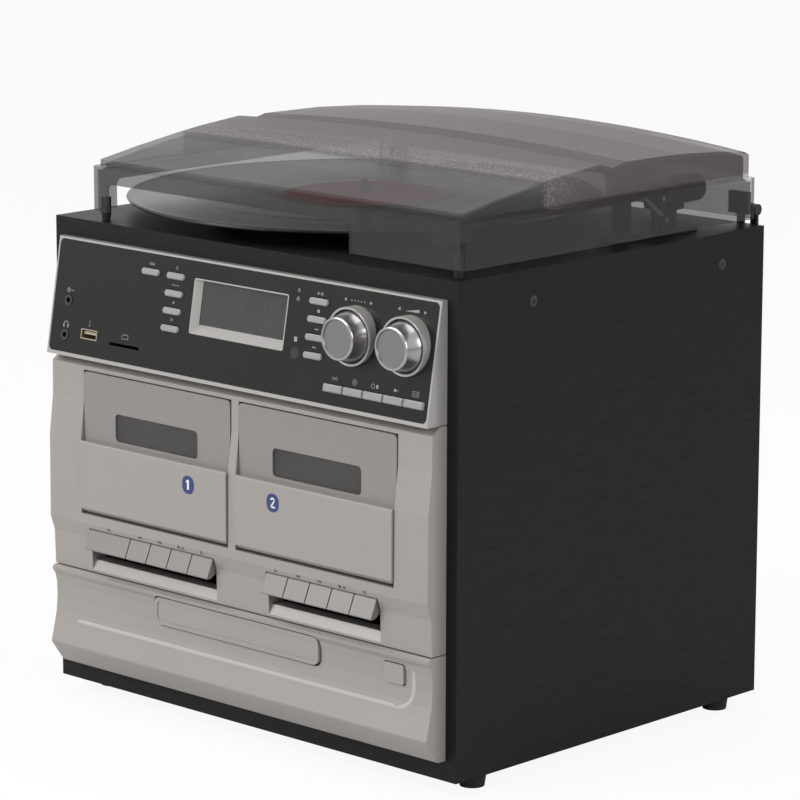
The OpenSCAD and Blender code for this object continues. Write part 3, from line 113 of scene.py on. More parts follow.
def on_face(x, rise, out=0.0):
    """A point on the display face, at a height above the bottom of its frame."""
    y = -DISPLAY_OUT + rise * math.tan(DISPLAY_TILT)
    return at(x, y, DISPLAY_Z0 + rise) + FACE_OUT * (out * MM)


# ------------------------------------------------------------------ camera

CAMERA_PLACE = (1691.633, -1650.633, 700.624)
CAMERA_YAW = math.radians(43.47711702)
CAMERA_PITCH = math.radians(11.83684963)
CAMERA_ROLL = math.radians(0.15039623)
CAMERA_LENS = 179.2847


def add_camera():
    data = bpy.data.cameras.new("camera")
    data.sensor_width = 36.0
    data.lens = CAMERA_LENS
    data.clip_start = 0.05
    data.clip_end = 50.0
    yaw, pitch, roll = CAMERA_YAW, CAMERA_PITCH, CAMERA_ROLL
    forward = Vector((-math.sin(yaw) * math.cos(pitch), math.cos(yaw) * math.cos(pitch),
                      -math.sin(pitch)))
    right = Vector((math.cos(yaw), math.sin(yaw), 0.0))
    up = right.cross(forward)
    right, up = (math.cos(roll) * right + math.sin(roll) * up,
                 -math.sin(roll) * right + math.cos(roll) * up)
    turn = Matrix((right, up, -forward)).transposed().to_4x4()
    camera = bpy.data.objects.new("camera", data)
    camera.matrix_world = Matrix.Translation(at(*CAMERA_PLACE)) @ turn
    bpy.context.scene.collection.objects.link(camera)
    bpy.context.scene.camera = camera


# --------------------------------------------------------------- node tools


class Surface:
    """A Principled material with short calls that add and link nodes."""

    def __init__(self, name, color, rough, metal=0.0, **sockets):
        self.mat = bpy.data.materials.new(name)
        self.mat.use_nodes = True
        self.tree = self.mat.node_tree
        self.bsdf = self.tree.nodes["Principled BSDF"]
        self.set("Base Color", (*color, 1.0))
        self.set("Roughness", rough)
        self.set("Metallic", metal)
        for key, value in sockets.items():
            self.set(key.replace("_", " "), value)

    def set(self, key, value):
        """Gives a socket of the shader a number, a colour or a link."""
        if isinstance(value, bpy.types.NodeSocket):
            self.tree.links.new(value, self.bsdf.inputs[key])
        else:
            self.bsdf.inputs[key].default_value = value

    def add(self, kind, inputs, output=0, **settings):
        new = self.tree.nodes.new("ShaderNode" + kind)
        for key, value in settings.items():
            setattr(new, key, value)
        for key, value in inputs.items():
            if isinstance(value, bpy.types.NodeSocket):
                self.tree.links.new(value, new.inputs[key])
            else:
                new.inputs[key].default_value = value
        return new.outputs[output]

    def math(self, operation, a, b=0.0, c=0.0):
        return self.add("Math", {0: a, 1: b, 2: c}, operation=operation)

    def place(self, scale=(1.0, 1.0, 1.0)):
        """Object coordinates in millimetres from the cabinet's own place, scaled."""
        raw = self.add("TexCoord", {}, output=3)
        moved = self.add("VectorMath", {0: raw, 1: tuple(HOME)}, operation="SUBTRACT")
        return self.add("VectorMath", {0: moved, 1: tuple(s / MM for s in scale)},
                        operation="MULTIPLY")

    def parts(self, vector):
        """The x, y and z of a vector socket."""
        new = self.tree.nodes.new("ShaderNodeSeparateXYZ")
        self.tree.links.new(vector, new.inputs[0])
        return new.outputs

    def noise(self, vector, scale, detail=3.0, rough=0.5, distortion=0.0):
        return self.add("TexNoise", {"Vector": vector, "Scale": scale, "Detail": detail,
                                     "Roughness": rough, "Distortion": distortion})

    def ramp(self, value, low, high, a, b):
        """Runs from a to b while the value runs from low to high."""
        return self.add("MapRange", {"Value": value, "From Min": low, "From Max": high,
                                     "To Min": a, "To Max": b})

    def mix(self, factor, a, b):
        """Blends two colours, each a tuple or a link."""
        new = self.tree.nodes.new("ShaderNodeMix")
        new.data_type = "RGBA"
        for socket, value in ((new.inputs[0], factor), (new.inputs[6], a), (new.inputs[7], b)):
            if isinstance(value, bpy.types.NodeSocket):
                self.tree.links.new(value, socket)
            elif isinstance(value, tuple):
                socket.default_value = (*value[:3], 1.0)
            else:
                socket.default_value = value
        return new.outputs[2]

    def bump(self, height, strength, distance, edge=0.0):
        """Raises the surface by the height; edge rounds sharp corners by that many millimetres."""
        inputs = {"Height": height, "Strength": strength, "Distance": distance * MM}
        if edge:
            inputs["Normal"] = self.add("Bevel", {"Radius": edge * MM}, samples=4)
        self.set("Normal", self.add("Bump", inputs))

    def radius(self, place, x, y):
        """Distance from an upright axis through x and y."""
        flat = self.add("VectorMath", {0: place, 1: (1.0, 1.0, 0.0)}, operation="MULTIPLY")
        return self.add("VectorMath", {0: flat, 1: (x, y, 0.0)}, output=1,
                        operation="DISTANCE")


# ---------------------------------------------------------------- materials


def wood_vinyl(name, along):
    """Black vinyl printed and pressed with wood grain that runs along X, Y or Z."""
    s = Surface(name, BLACK_VINYL, 0.46, Specular_IOR_Level=0.17)
    stretch = [0.16, 0.16, 0.16]
    stretch["XYZ".index(along)] = 0.011
    flame = s.noise(s.place(tuple(stretch)), 1.0, detail=4.0, rough=0.62, distortion=1.3)
    bands = s.math("FRACT", s.math("MULTIPLY", flame, 9.0))
    streak = s.ramp(s.math("ABSOLUTE", s.math("SUBTRACT", bands, 0.5)), 0.30, 0.5, 0.0, 1.0)
    fine = [0.9, 0.9, 0.9]
    fine["XYZ".index(along)] = 0.05
    pores = s.noise(s.place(tuple(fine)), 1.0, detail=2.0)
    pore = s.ramp(pores, 0.56, 0.70, 0.0, 1.0)
    depth = s.math("MAXIMUM", s.math("MULTIPLY", streak, 0.55), s.math("MULTIPLY", pore, 0.8))
    s.set("Base Color", s.mix(depth, BLACK_VINYL, (0.0036, 0.0034, 0.0037)))
    s.set("Roughness", s.ramp(depth, 0.0, 1.0, 0.43, 0.58))
    s.bump(depth, -0.55, 0.14, edge=0.5)
    return s.mat


def painted(name, color, rough, metal, grain=0.5, edge=0.35, **sockets):
    """Satin paint or moulded plastic: fine flake, faint large clouds and worn rounded edges."""
    s = Surface(name, color, rough, metal, **sockets)
    place = s.place()
    flake = s.noise(place, 2.6, detail=2.0)
    cloud = s.noise(place, 0.012, detail=2.0)
    shade = s.ramp(flake, 0.25, 0.75, 1.0 - 0.09 * grain, 1.0 + 0.07 * grain)
    shade = s.math("MULTIPLY", shade, s.ramp(cloud, 0.3, 0.7, 0.975, 1.02))
    s.set("Base Color", s.add("VectorMath", {0: tuple(color), 3: shade}, operation="SCALE"))
    s.set("Roughness", s.ramp(flake, 0.3, 0.7, rough - 0.04 * grain, rough + 0.05 * grain))
    s.bump(flake, 0.05 * grain, 0.06, edge=edge)
    return s.mat


def door_panel(name):
    """The doors' silver paint, with painted shade on the leaning half above the middle of the
    window.
    """
    s = Surface(name, SILVER, 0.40, 0.30)
    place = s.place()
    z = s.parts(place)[2]
    flake = s.noise(place, 2.6, detail=2.0)
    # Painted shade: the silver is darkened to 0.77 above where the door's upper half starts to
    # lean back
    shade = s.math("MULTIPLY", s.ramp(flake, 0.25, 0.75, 0.955, 1.035),
                   s.ramp(z, *DOOR_LEAN_SHADE_Z, 1.0, 0.77))
    s.set("Base Color", s.add("VectorMath", {0: tuple(SILVER), 3: shade}, operation="SCALE"))
    s.set("Roughness", s.ramp(flake, 0.3, 0.7, 0.38, 0.425))
    s.bump(flake, 0.025, 0.06, edge=0.15)
    return s.mat


def textured_plastic(name, color, rough, scale=1.6, depth=0.12):
    """Matt moulded plastic or rubber with a spark-eroded grain."""
    s = Surface(name, color, rough, 0.0, Specular_IOR_Level=0.4)
    grain = s.noise(s.place(), scale, detail=3.0)
    s.set("Base Color", s.mix(grain, tuple(c * 0.85 for c in color),
                              tuple(c * 1.2 for c in color)))
    s.set("Roughness", s.ramp(grain, 0.3, 0.7, rough - 0.06, rough + 0.06))
    s.bump(grain, 0.25, depth, edge=0.3)
    return s.mat


def gloss_face(name):
    """The display panel's face: gloss black with the slightest ripple."""
    s = Surface(name, FACE_BLACK, 0.24, Specular_IOR_Level=0.30)
    ripple = s.noise(s.place(), 0.03, detail=2.0)
    s.set("Roughness", s.ramp(ripple, 0.3, 0.7, 0.21, 0.29))
    s.bump(ripple, 0.05, 0.05, edge=0.25)
    return s.mat


def brushed_knob(name, x):
    """A bright knob: turned rings on its face, a smooth side and a polished rim."""
    s = Surface(name, (0.38, 0.372, 0.362), 0.26, 0.88)
    place = s.place((1.0, 0.0, 1.0))
    centre = (x, 0.0, DISPLAY_Z0 + KNOB_RISE)
    r = s.add("VectorMath", {0: place, 1: centre}, output=1, operation="DISTANCE")
    rings = s.noise(s.add("CombineXYZ", {0: r, 1: 0.0, 2: 0.0}), 7.0, detail=3.0, rough=0.7)
    face = s.math("LESS_THAN", r, KNOB_FACE_R)
    s.set("Roughness", s.ramp(face, 0.0, 1.0, 0.2, 0.36))
    s.set("Base Color", s.mix(face, (0.36, 0.352, 0.343), (0.215, 0.208, 0.200)))
    s.bump(s.math("MULTIPLY", rings, face), 0.30, 0.05, edge=0.3)
    return s.mat


def smoked_cover(name):
    """Smoke tinted styrene: clear before a curve across the roof, satin speckle behind it, and
    painted glints in the speckle just behind that curve.
    """
    s = Surface(name, SMOKE, 0.07, 0.0, Specular_IOR_Level=0.5)
    place = s.place()
    x, y, z = s.parts(place)
    # The clear window's rear edge bows towards the front in its middle
    bow = s.math("POWER", s.math("DIVIDE", s.math("SUBTRACT", x, 12.0), 150.0), 2.0)
    edge = s.math("ADD", s.math("MULTIPLY", bow, 9.0), 68.0)
    behind = s.math("SUBTRACT", y, edge)
    satin = s.math("MULTIPLY", s.ramp(behind, -1.0, 3.0, 0.0, 1.0),
                   s.ramp(z, 331.5, 333.5, 0.0, 1.0))
    speck = s.noise(place, 0.85, detail=2.0, rough=0.6)
    # Painted glints: pale specks of colour, strongest just behind the clear window's edge, stand
    # in for light sparkling on the satin
    dot = s.ramp(speck, 0.50, 0.66, 0.0, 1.0)
    near = s.ramp(behind, 0.0, 34.0, 1.0, 0.12)
    glint = s.math("MULTIPLY", s.math("MULTIPLY", dot, near), satin)
    s.set("Base Color", s.mix(glint, s.mix(satin, SMOKE, (0.112, 0.094, 0.088)),
                              (0.52, 0.49, 0.50)))
    s.set("Roughness", s.math("ADD", s.math("MULTIPLY", satin, 0.33), 0.07))
    rim = s.add("LayerWeight", {"Blend": 0.35})
    clear = s.ramp(rim, 0.0, 1.0, 0.19, 0.70)
    cloudy = s.ramp(rim, 0.0, 1.0, 0.48, 0.90)
    s.set("Alpha", s.ramp(satin, 0.0, 1.0, clear, cloudy))
    s.bump(s.math("MULTIPLY", speck, satin), 0.25, 0.08)
    return s.mat


def record_disc(name):
    """Black vinyl with fine grooves, wide lines between the tracks and a plain red label."""
    s = Surface(name, RECORD_BLACK, 0.24, Specular_IOR_Level=0.28)
    r = s.radius(s.place(), *PLATTER)
    label = s.math("LESS_THAN", r, LABEL_R)
    wave = s.math("SINE", s.math("MULTIPLY", r, 2.0 * math.pi / GROOVE_PITCH))
    track = s.noise(s.add("CombineXYZ", {0: r, 1: 0.0, 2: 0.0}), 0.21, detail=1.0)
    gap = s.ramp(track, 0.60, 0.615, 1.0, 0.0)
    cut = s.math("MULTIPLY", s.math("GREATER_THAN", r, GROOVES_IN),
                 s.math("LESS_THAN", r, GROOVES_OUT))
    groove = s.math("MULTIPLY", s.math("MULTIPLY", wave, gap), cut)
    paper = s.noise(s.place(), 0.9, detail=3.0)
    ring = s.math("LESS_THAN", s.math("ABSOLUTE", s.math("SUBTRACT", r, 16.5)), 0.5)
    red = s.mix(s.math("MULTIPLY", paper, 0.25), LABEL_RED, (0.30, 0.02, 0.018))
    red = s.mix(ring, red, (0.24, 0.018, 0.015))
    s.set("Base Color", s.mix(label, RECORD_BLACK, red))
    s.set("Roughness", s.math("ADD", s.math("MULTIPLY", label, 0.28),
                              s.ramp(groove, -1.0, 1.0, 0.2, 0.3)))
    s.bump(groove, 0.22, 0.05, edge=0.3)
    return s.mat


def display_glass(name):
    """The display's pane, with the standby lens green and the receiver's eye dark red."""
    s = Surface(name, (0.062, 0.060, 0.062), 0.12, Specular_IOR_Level=0.55)
    x, _, z = s.parts(s.place())
    beside = s.math("GREATER_THAN", x, 46.0)
    low = s.math("LESS_THAN", z, 255.0)
    lens = s.mix(low, (0.10, 0.13, 0.10), (0.020, 0.012, 0.013))
    haze = s.ramp(s.noise(s.place(), 0.05, detail=1.0), 0.3, 0.7, 0.9, 1.1)
    pane = s.add("VectorMath", {0: (0.036, 0.034, 0.035), 3: haze}, operation="SCALE")
    s.set("Base Color", s.mix(beside, pane, lens))
    return s.mat


def tinted_window(name):
    """A door's window: clear smoke grey that shows the well behind it."""
    s = Surface(name, (0.085, 0.080, 0.080), 0.08, Specular_IOR_Level=0.6)
    rim = s.add("LayerWeight", {"Blend": 0.3})
    s.set("Alpha", s.ramp(rim, 0.0, 1.0, 0.42, 0.95))
    haze = s.noise(s.place(), 0.04, detail=2.0)
    s.set("Base Color", s.mix(haze, (0.060, 0.056, 0.056), (0.115, 0.108, 0.107)))
    return s.mat


def circuit_board(name):
    """Green lacquer with paler tracks and dark parts."""
    s = Surface(name, (0.03, 0.16, 0.07), 0.4)
    track = s.add("TexVoronoi", {"Vector": s.place(), "Scale": 0.35}, feature="DISTANCE_TO_EDGE")
    line = s.math("LESS_THAN", track, 0.06)
    s.set("Base Color", s.mix(line, (0.020, 0.085, 0.040), (0.05, 0.20, 0.09)))
    s.bump(track, 0.2, 0.1)
    return s.mat


def machined(name, color, rough, metal=1.0):
    """Turned or drawn metal with fine lines."""
    s = Surface(name, color, rough, metal)
    lines = s.noise(s.place((0.4, 6.0, 6.0)), 1.0, detail=2.0)
    s.set("Roughness", s.ramp(lines, 0.3, 0.7, rough - 0.06, rough + 0.08))
    s.bump(lines, 0.12, 0.03, edge=0.25)
    return s.mat


def rear_sockets(name):
    """Black sockets: metal for the memory stick's opening and coloured rear terminals."""
    s = Surface(name, (0.02, 0.02, 0.02), 0.42)
    x, y, _ = s.parts(s.place())
    stick = s.math("MULTIPLY", s.math("LESS_THAN", y, 40.0),
                   s.math("MULTIPLY", s.math("GREATER_THAN", x, -140.0),
                          s.math("LESS_THAN", x, -116.0)))
    rear = s.math("GREATER_THAN", y, 200.0)
    left = s.math("LESS_THAN", s.math("ABSOLUTE", s.math("ADD", x, 10.0)), 5.5)
    right = s.math("LESS_THAN", s.math("ABSOLUTE", s.math("SUBTRACT", x, 6.0)), 5.5)
    color = s.mix(stick, (0.018, 0.018, 0.019), (0.36, 0.31, 0.22))
    color = s.mix(s.math("MULTIPLY", rear, left), color, (0.55, 0.54, 0.52))
    color = s.mix(s.math("MULTIPLY", rear, right), color, (0.42, 0.02, 0.02))
    grain = s.noise(s.place(), 2.0, detail=2.0)
    s.set("Base Color", color)
    s.set("Metallic", s.math("MULTIPLY", stick, 0.8))
    s.bump(grain, 0.1, 0.05, edge=0.2)
    return s.mat


def plain(name, color, rough):
    """Ink or enamel of a printed sign, with a trace of unevenness."""
    s = Surface(name, color, rough)
    ink = s.noise(s.place(), 3.0, detail=2.0)
    s.set("Base Color", s.mix(ink, tuple(c * 0.9 for c in color), tuple(c * 1.08 for c in color)))
    return s.mat


def dress():
    """Gives every node of the frame its material."""
    board_y = wood_vinyl("vinyl_grain_y", "Y")
    board_x = wood_vinyl("vinyl_grain_x", "X")
    panel = painted("silver_panel", SILVER, 0.40, 0.30, edge=0.15)
    trim = painted("silver_trim", (0.40, 0.388, 0.372), 0.30, 0.45, grain=0.1, edge=0.0)
    button = painted("button_plastic", BRIGHT_SILVER, 0.30, 0.30, grain=0.3, edge=0.5)
    key = painted("key_plastic", (0.196, 0.183, 0.172), 0.38, 0.30, edge=0.5)
    door = door_panel("door_panel")
    glossy = gloss_face("gloss_black")
    rubber = textured_plastic("rubber", (0.012, 0.012, 0.012), 0.7)
    black_plastic = textured_plastic("black_plastic", (0.016, 0.016, 0.017), 0.45)
    black_metal = painted("black_metal", (0.020, 0.020, 0.021), 0.36, 0.2)
    window = tinted_window("clear_window")
    steel = machined("steel", (0.52, 0.52, 0.53), 0.3)
    by_node = {
        "base_board": board_x, "side_panels": board_y, "top_board": board_x,
        "front_baffle": board_x,
        "rear_panel": textured_plastic("rear_board", (0.020, 0.020, 0.021), 0.72, 0.5, 0.2),
        "feet": rubber, "panel_screws": black_metal,
        "display_frame": trim, "display_fascia": glossy,
        "display_windows": display_glass("display_glass"), "sockets": rear_sockets("sockets"),
        "cassette_fascia": panel, "cd_fascia": panel, "play_mechanisms": black_plastic,
        "circuit_boards": circuit_board("circuit"), "platter_motor": steel,
        "motor_pulley": machined("brass", (0.55, 0.40, 0.16), 0.3), "drive_belt": rubber,
        "platter": textured_plastic("platter_mat", (0.018, 0.018, 0.018), 0.6, 1.0),
        "record": record_disc("record_vinyl"), "arm_base": black_plastic,
        "arm_yoke": black_plastic, "tonearm": painted("arm_lacquer", (0.06, 0.06, 0.06), 0.3, 0.5),
        "cue_lever": steel, "dust_cover": smoked_cover("smoked_cover"),
        "hinge_brackets": black_plastic, "hinge_leaves": black_plastic, "cover_buffers": rubber,
        "door_1": door, "door_2": door, "window_1": window, "window_2": window,
        "cd_tray": panel, "eject_button": panel, "menu_button": button,
    }
    for name, x in KNOBS.items():
        by_node[name] = brushed_knob(name, x)
    for name, thing in NODES.items():
        if "_key_" in name:
            mat = key
        elif "_button_" in name:
            mat = button
        else:
            mat = by_node[name]
        for slot in thing.material_slots:
            slot.material = mat
        if not thing.material_slots:
            thing.data.materials.append(mat)


# ------------------------------------------------------- signs and small trim


class Marks:
    """Thin raised signs, gathered into one piece. Places are millimetres on a plane."""

    def __init__(self, name, origin, across, up, lift=0.10):
        self.name = name
        self.mesh = bmesh.new()
        self.origin, self.across, self.up = origin, across, up
        self.out = across.cross(up)
        self.lift = lift

    def point(self, u, v, w):
        return self.origin + (self.across * u + self.up * v + self.out * w) * MM

    def shape(self, outline):
        """A raised sign from a closed outline, counter-clockwise as it is read."""
        low = [self.mesh.verts.new(self.point(u, v, -0.05)) for u, v in outline]
        high = [self.mesh.verts.new(self.point(u, v, self.lift)) for u, v in outline]
        self.mesh.faces.new(high)
        self.mesh.faces.new(low[::-1])
        for i in range(len(outline)):
            j = (i + 1) % len(outline)
            self.mesh.faces.new((low[i], low[j], high[j], high[i]))

    def bar(self, u, v, w, h, lean=0.0):
        """An upright rectangle centred on u and v, which may lean like an italic."""
        self.shape([(u - w / 2 - lean, v - h / 2), (u + w / 2 - lean, v - h / 2),
                    (u + w / 2 + lean, v + h / 2), (u - w / 2 + lean, v + h / 2)])

    def arrow(self, u, v, size, right=True):
        """A triangle that points right or left."""
        s = size if right else -size
        points = [(u - s / 2, v - size / 2), (u + s / 2, v), (u - s / 2, v + size / 2)]
        self.shape(points if right else points[::-1])

    def ring(self, u, v, r, line, first=0.0, last=360.0, steps=28):
        """An arc of constant line width, between two angles."""
        angles = [math.radians(first + (last - first) * i / steps) for i in range(steps + 1)]
        for a, b in zip(angles, angles[1:]):
            outer, inner = r + line / 2, r - line / 2
            self.shape([(u + inner * math.cos(a), v + inner * math.sin(a)),
                        (u + outer * math.cos(a), v + outer * math.sin(a)),
                        (u + outer * math.cos(b), v + outer * math.sin(b)),
                        (u + inner * math.cos(b), v + inner * math.sin(b))])

    def disc(self, u, v, rx, ry, power=1.0, steps=36):
        """A filled oval; a power under 1 makes its sides fuller."""
        outline = []
        for i in range(steps):
            a = 2 * math.pi * i / steps
            c, s = math.cos(a), math.sin(a)
            outline.append((u + rx * math.copysign(abs(c) ** power, c),
                            v + ry * math.copysign(abs(s) ** power, s)))
        self.shape(outline)

    def line(self, points, width):
        """A broken line of constant width."""
        for (u0, v0), (u1, v1) in zip(points, points[1:]):
            length = math.hypot(u1 - u0, v1 - v0)
            du, dv = (u1 - u0) / length, (v1 - v0) / length
            nu, nv = -dv * width / 2, du * width / 2
            eu, ev = du * width / 2, dv * width / 2
            self.shape([(u0 - eu - nu, v0 - ev - nv), (u1 + eu - nu, v1 + ev - nv),
                        (u1 + eu + nu, v1 + ev + nv), (u0 - eu + nu, v0 - ev + nv)])

    def finish(self, mat, body):
        mesh = bpy.data.meshes.new(self.name)
        self.mesh.to_mesh(mesh)
        self.mesh.free()
        mesh.materials.append(mat)
        return add_piece(self.name, mesh, body)


def add_piece(name, mesh, body):
    piece = bpy.data.objects.new(name, mesh)
    bpy.context.scene.collection.objects.link(piece)
    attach(piece, body)
    return piece


RIGHT, UP = Vector((1, 0, 0)), Vector((0, 0, 1))
SEGMENTS = {"0": "abcdef", "1": "bc", "2": "abged", "3": "abgcd", "4": "fgbc",
            "5": "afgcd", "6": "afgedc", "7": "abc", "8": "abcdefg", "9": "abcdfg"}


def digit(marks, char, u, v, w, h, line, lean):
    """A digit of seven bars, with its lower left corner at u and v."""
    half = h / 2
    corner = {"a": ((0, h), (w, h)), "b": ((w, h), (w, half)), "c": ((w, half), (w, 0)),
              "d": ((0, 0), (w, 0)), "e": ((0, half), (0, 0)), "f": ((0, h), (0, half)),
              "g": ((0, half), (w, half))}
    gap = line * 0.6
    for segment in SEGMENTS[char]:
        (x0, y0), (x1, y1) = corner[segment]
        if y0 == y1:
            ends = [(x0 + gap, y0), (x1 - gap, y1)]
        else:
            ends = [(x0, y0 - gap), (x1, y1 + gap)]
        marks.line([(u + x + y * lean, v + y) for x, y in ends], line)


def play_sign(marks, u, v, size):
    marks.arrow(u, v, size)


def double_arrow(marks, u, v, size, right):
    for shift in (-0.5, 0.5):
        marks.arrow(u + shift * size, v, size, right)


def skip_sign(marks, u, v, size, right):
    double_arrow(marks, u, v, size, right)
    marks.bar(u + (1.2 if right else -1.2) * size, v, 0.35, size)


def pause_sign(marks, u, v, size):
    for shift in (-0.28, 0.28):
        marks.bar(u + shift * size, v, size * 0.26, size)


def eject_sign(marks, u, v, size):
    marks.shape([(u - size / 2, v - size * 0.1), (u + size / 2, v - size * 0.1),
                 (u, v + size / 2)])
    marks.bar(u, v - size * 0.38, size, size * 0.22)


def cassette_sign(marks, u, v, w, h):
    marks.line([(u - w / 2, v - h / 2), (u + w / 2, v - h / 2), (u + w / 2, v + h / 2),
                (u - w / 2, v + h / 2), (u - w / 2, v - h / 2)], 0.25)
    for side in (-1, 1):
        marks.ring(u + side * w * 0.2, v, h * 0.16, 0.22, steps=12)


def display_signs():
    """Signs on the black face: all are plain pictograms."""
    ink = plain("sign_ink", MARK_GREY, 0.5)
    marks = Marks("display_signs", on_face(0, 0), RIGHT, FACE_UP)
    slope = 1.0 / math.cos(DISPLAY_TILT)

    def v(z):
        return (z - DISPLAY_Z0) * slope

    for x in KNOBS.values():
        for side in (-1, 1):
            marks.arrow(x + side * 10.5, v(279.6), 2.1, right=side > 0)
    # A scale of dots and a wedge say tuning and volume
    for i in range(5):
        marks.disc(KNOBS["tuning_knob"] - 5.2 + i * 2.6, v(279.6), 0.45, 0.45, steps=12)
    wedge = KNOBS["volume_knob"]
    marks.shape([(wedge - 5.5, v(278.8)), (wedge + 5.5, v(278.8)), (wedge + 5.5, v(280.8))])
    # Headphones and line input
    marks.ring(-149.2, v(234.4), 1.9, 0.4, 0, 180, steps=14)
    for side in (-1, 1):
        marks.bar(-149.2 + side * 1.9, v(233.5), 0.95, 2.0)
    marks.ring(-150.1, v(255.6), 1.3, 0.35, steps=16)
    marks.disc(-150.1, v(255.6), 0.45, 0.45, steps=12)
    marks.bar(-146.7, v(255.6), 2.2, 0.35)
    # Over the left column: a list, a loop, a mark for recording and a bin
    left = -55.5
    marks.bar(-77.9, v(279.9), 4.6, 0.35)
    marks.bar(-77.9, v(280.8), 4.6, 0.35)
    marks.ring(left, v(280.3), 0.85, 0.3, 40, 330, steps=12)
    for i in range(3):
        marks.bar(left - 2.2 + i * 2.2, v(269.9), 1.3, 0.5)
    marks.disc(left, v(259.4), 0.75, 0.75, steps=16)
    marks.line([(left - 1, v(248.3)), (left + 1, v(249.9))], 0.3)
    marks.line([(left - 1, v(249.9)), (left + 1, v(248.3))], 0.3)
    # Over the right column: play and pause, stop, and the two skips
    right = 67.3
    play_sign(marks, right - 1.3, v(280.1), 1.9)
    pause_sign(marks, right + 1.3, v(280.1), 1.9)
    marks.bar(right, v(269.8), 1.9, 1.9)
    skip_sign(marks, right, v(259.1), 1.2, True)
    skip_sign(marks, right, v(248.5), 1.2, False)
    # Beside the memory openings, the standby lens and the receiver's eye
    marks.line([(-127.6, v(236.2)), (-127.6, v(239.0))], 0.3)
    marks.arrow(-127.6, v(236.0), 0.9, right=True)
    marks.line([(-97.5, v(232.0)), (-92.0, v(232.0)), (-92.0, v(234.6)), (-96.4, v(234.6)),
                (-97.5, v(233.6)), (-97.5, v(232.0))], 0.28)
    marks.ring(49.5, v(280.0), 0.9, 0.3, 120, 420, steps=14)
    marks.line([(49.5, v(280.2)), (49.5, v(281.3))], 0.3)
    marks.bar(51.3, v(251.4), 2.5, 2.9)
    # Over the five source buttons: waves, record, notes on a disc, a plug and a cassette
    row = v(233.0)
    xs = [119.5 + (i - 2) * 16.3 for i in range(5)]
    for r in (1.0, 1.9):
        marks.ring(xs[0], row, r, 0.25, -45, 45, steps=8)
        marks.ring(xs[0], row, r, 0.25, 135, 225, steps=8)
    marks.disc(xs[0], row, 0.4, 0.4, steps=12)
    marks.ring(xs[1], row, 1.7, 0.25, steps=20)
    marks.ring(xs[1], row, 0.6, 0.25, steps=12)
    marks.ring(xs[2] - 1.4, row, 1.3, 0.25, steps=18)
    marks.bar(xs[2] + 2.0, row, 1.5, 2.2)
    marks.bar(xs[3], row, 1.8, 1.5)
    marks.bar(xs[3] + 1.9, row, 2.0, 0.3)
    cassette_sign(marks, xs[4], row, 4.8, 2.8)
    marks.finish(ink, "cabinet")


def lcd_segments():
    """Faint segments of the switched off display: a clock that reads 12:00."""
    ghost = plain("lcd_segment", (0.045, 0.041, 0.047), 0.3)
    origin = on_face(LCD_X, LCD_RISE, -LCD_DEPTH - 0.08) + FACE_UP * (LCD_UP * MM)
    marks = Marks("lcd_segments", origin, RIGHT, FACE_UP, lift=0.05)
    for i, char in enumerate("12"):
        digit(marks, char, -13.5 + i * 9.2, -3.5, 5.2, 10.5, 1.0, 0.08)
    for i, char in enumerate("00"):
        digit(marks, char, 8.5 + i * 9.2, -3.5, 5.2, 10.5, 1.0, 0.08)
    for v in (-0.5, 4.2):
        marks.bar(5.6, v, 1.0, 1.0)
    for i in range(8):
        marks.bar(-28.0 + i * 2.6, -8.0, 1.6, 0.7)
    marks.finish(ghost, "cabinet")


def badge(door, x, z, char):
    """A blue oval with the deck's plain number."""
    blue = plain("badge_blue", BADGE_BLUE, 0.3)
    white = plain("badge_white", (0.80, 0.81, 0.84), 0.4)
    origin = at(x, DOOR_FRONT_Y, z)
    oval = Marks("%s_badge" % door, origin, RIGHT, UP, lift=0.12)
    oval.disc(0, 0, BADGE_RX, BADGE_RZ, power=0.85)
    oval.finish(blue, door)
    number = Marks("%s_number" % door, origin, RIGHT, UP, lift=0.20)
    if char == "1":
        number.shape([(-0.75, -3.0), (0.85, -3.0), (0.85, 3.2), (-0.55, 3.2), (-1.9, 1.9),
                      (-1.4, 1.3), (-0.75, 1.8)])
    else:
        number.ring(0, 1.45, 1.35, 0.95, -20, 170, steps=14)
        number.line([(1.2, 0.95), (-1.5, -2.5)], 0.95)
        number.bar(0, -2.65, 4.0, 0.95)
    number.finish(white, door)


def key_signs():
    """Dark pictograms on the cassette panel over the keys."""
    ink = plain("key_ink", MARK_DARK, 0.5)
    # The panel between the keys and the doors leans out towards its lower edge
    low, high = Vector((0, -12.70, 99.7)), Vector((0, -15.90, 109.4))
    up = (high - low).normalized()
    marks = Marks("key_signs", at(0, low.y, low.z), RIGHT, up)
    reach = (108.4 - low.z) / up.z
    for start, first in ((-128.5, 2.0), (29.6, 1.0)):
        edges = [start]
        for width in (37.8 if first > 1 else 18.5, 18.5, 18.5, 18.5, 18.5):
            edges.append(edges[-1] + width)
        mid = [(a + b) / 2 for a, b in zip(edges, edges[1:])]
        play_sign(marks, mid[0], reach, 2.3)
        double_arrow(marks, mid[1], reach, 2.0, False)
        double_arrow(marks, mid[2], reach, 2.0, True)
        marks.bar(mid[3] - 1.8, reach, 2.0, 2.0)
        eject_sign(marks, mid[3] + 1.8, reach, 2.3)
        pause_sign(marks, mid[4], reach, 2.2)
    marks.finish(ink, "cabinet")


def arc(x, z, r, first, last, steps=8):
    """Points of an arc about x and z, between two angles in degrees."""
    angles = [math.radians(first + (last - first) * i / steps) for i in range(steps + 1)]
    return [(x + r * math.cos(a), z + r * math.sin(a)) for a in angles]


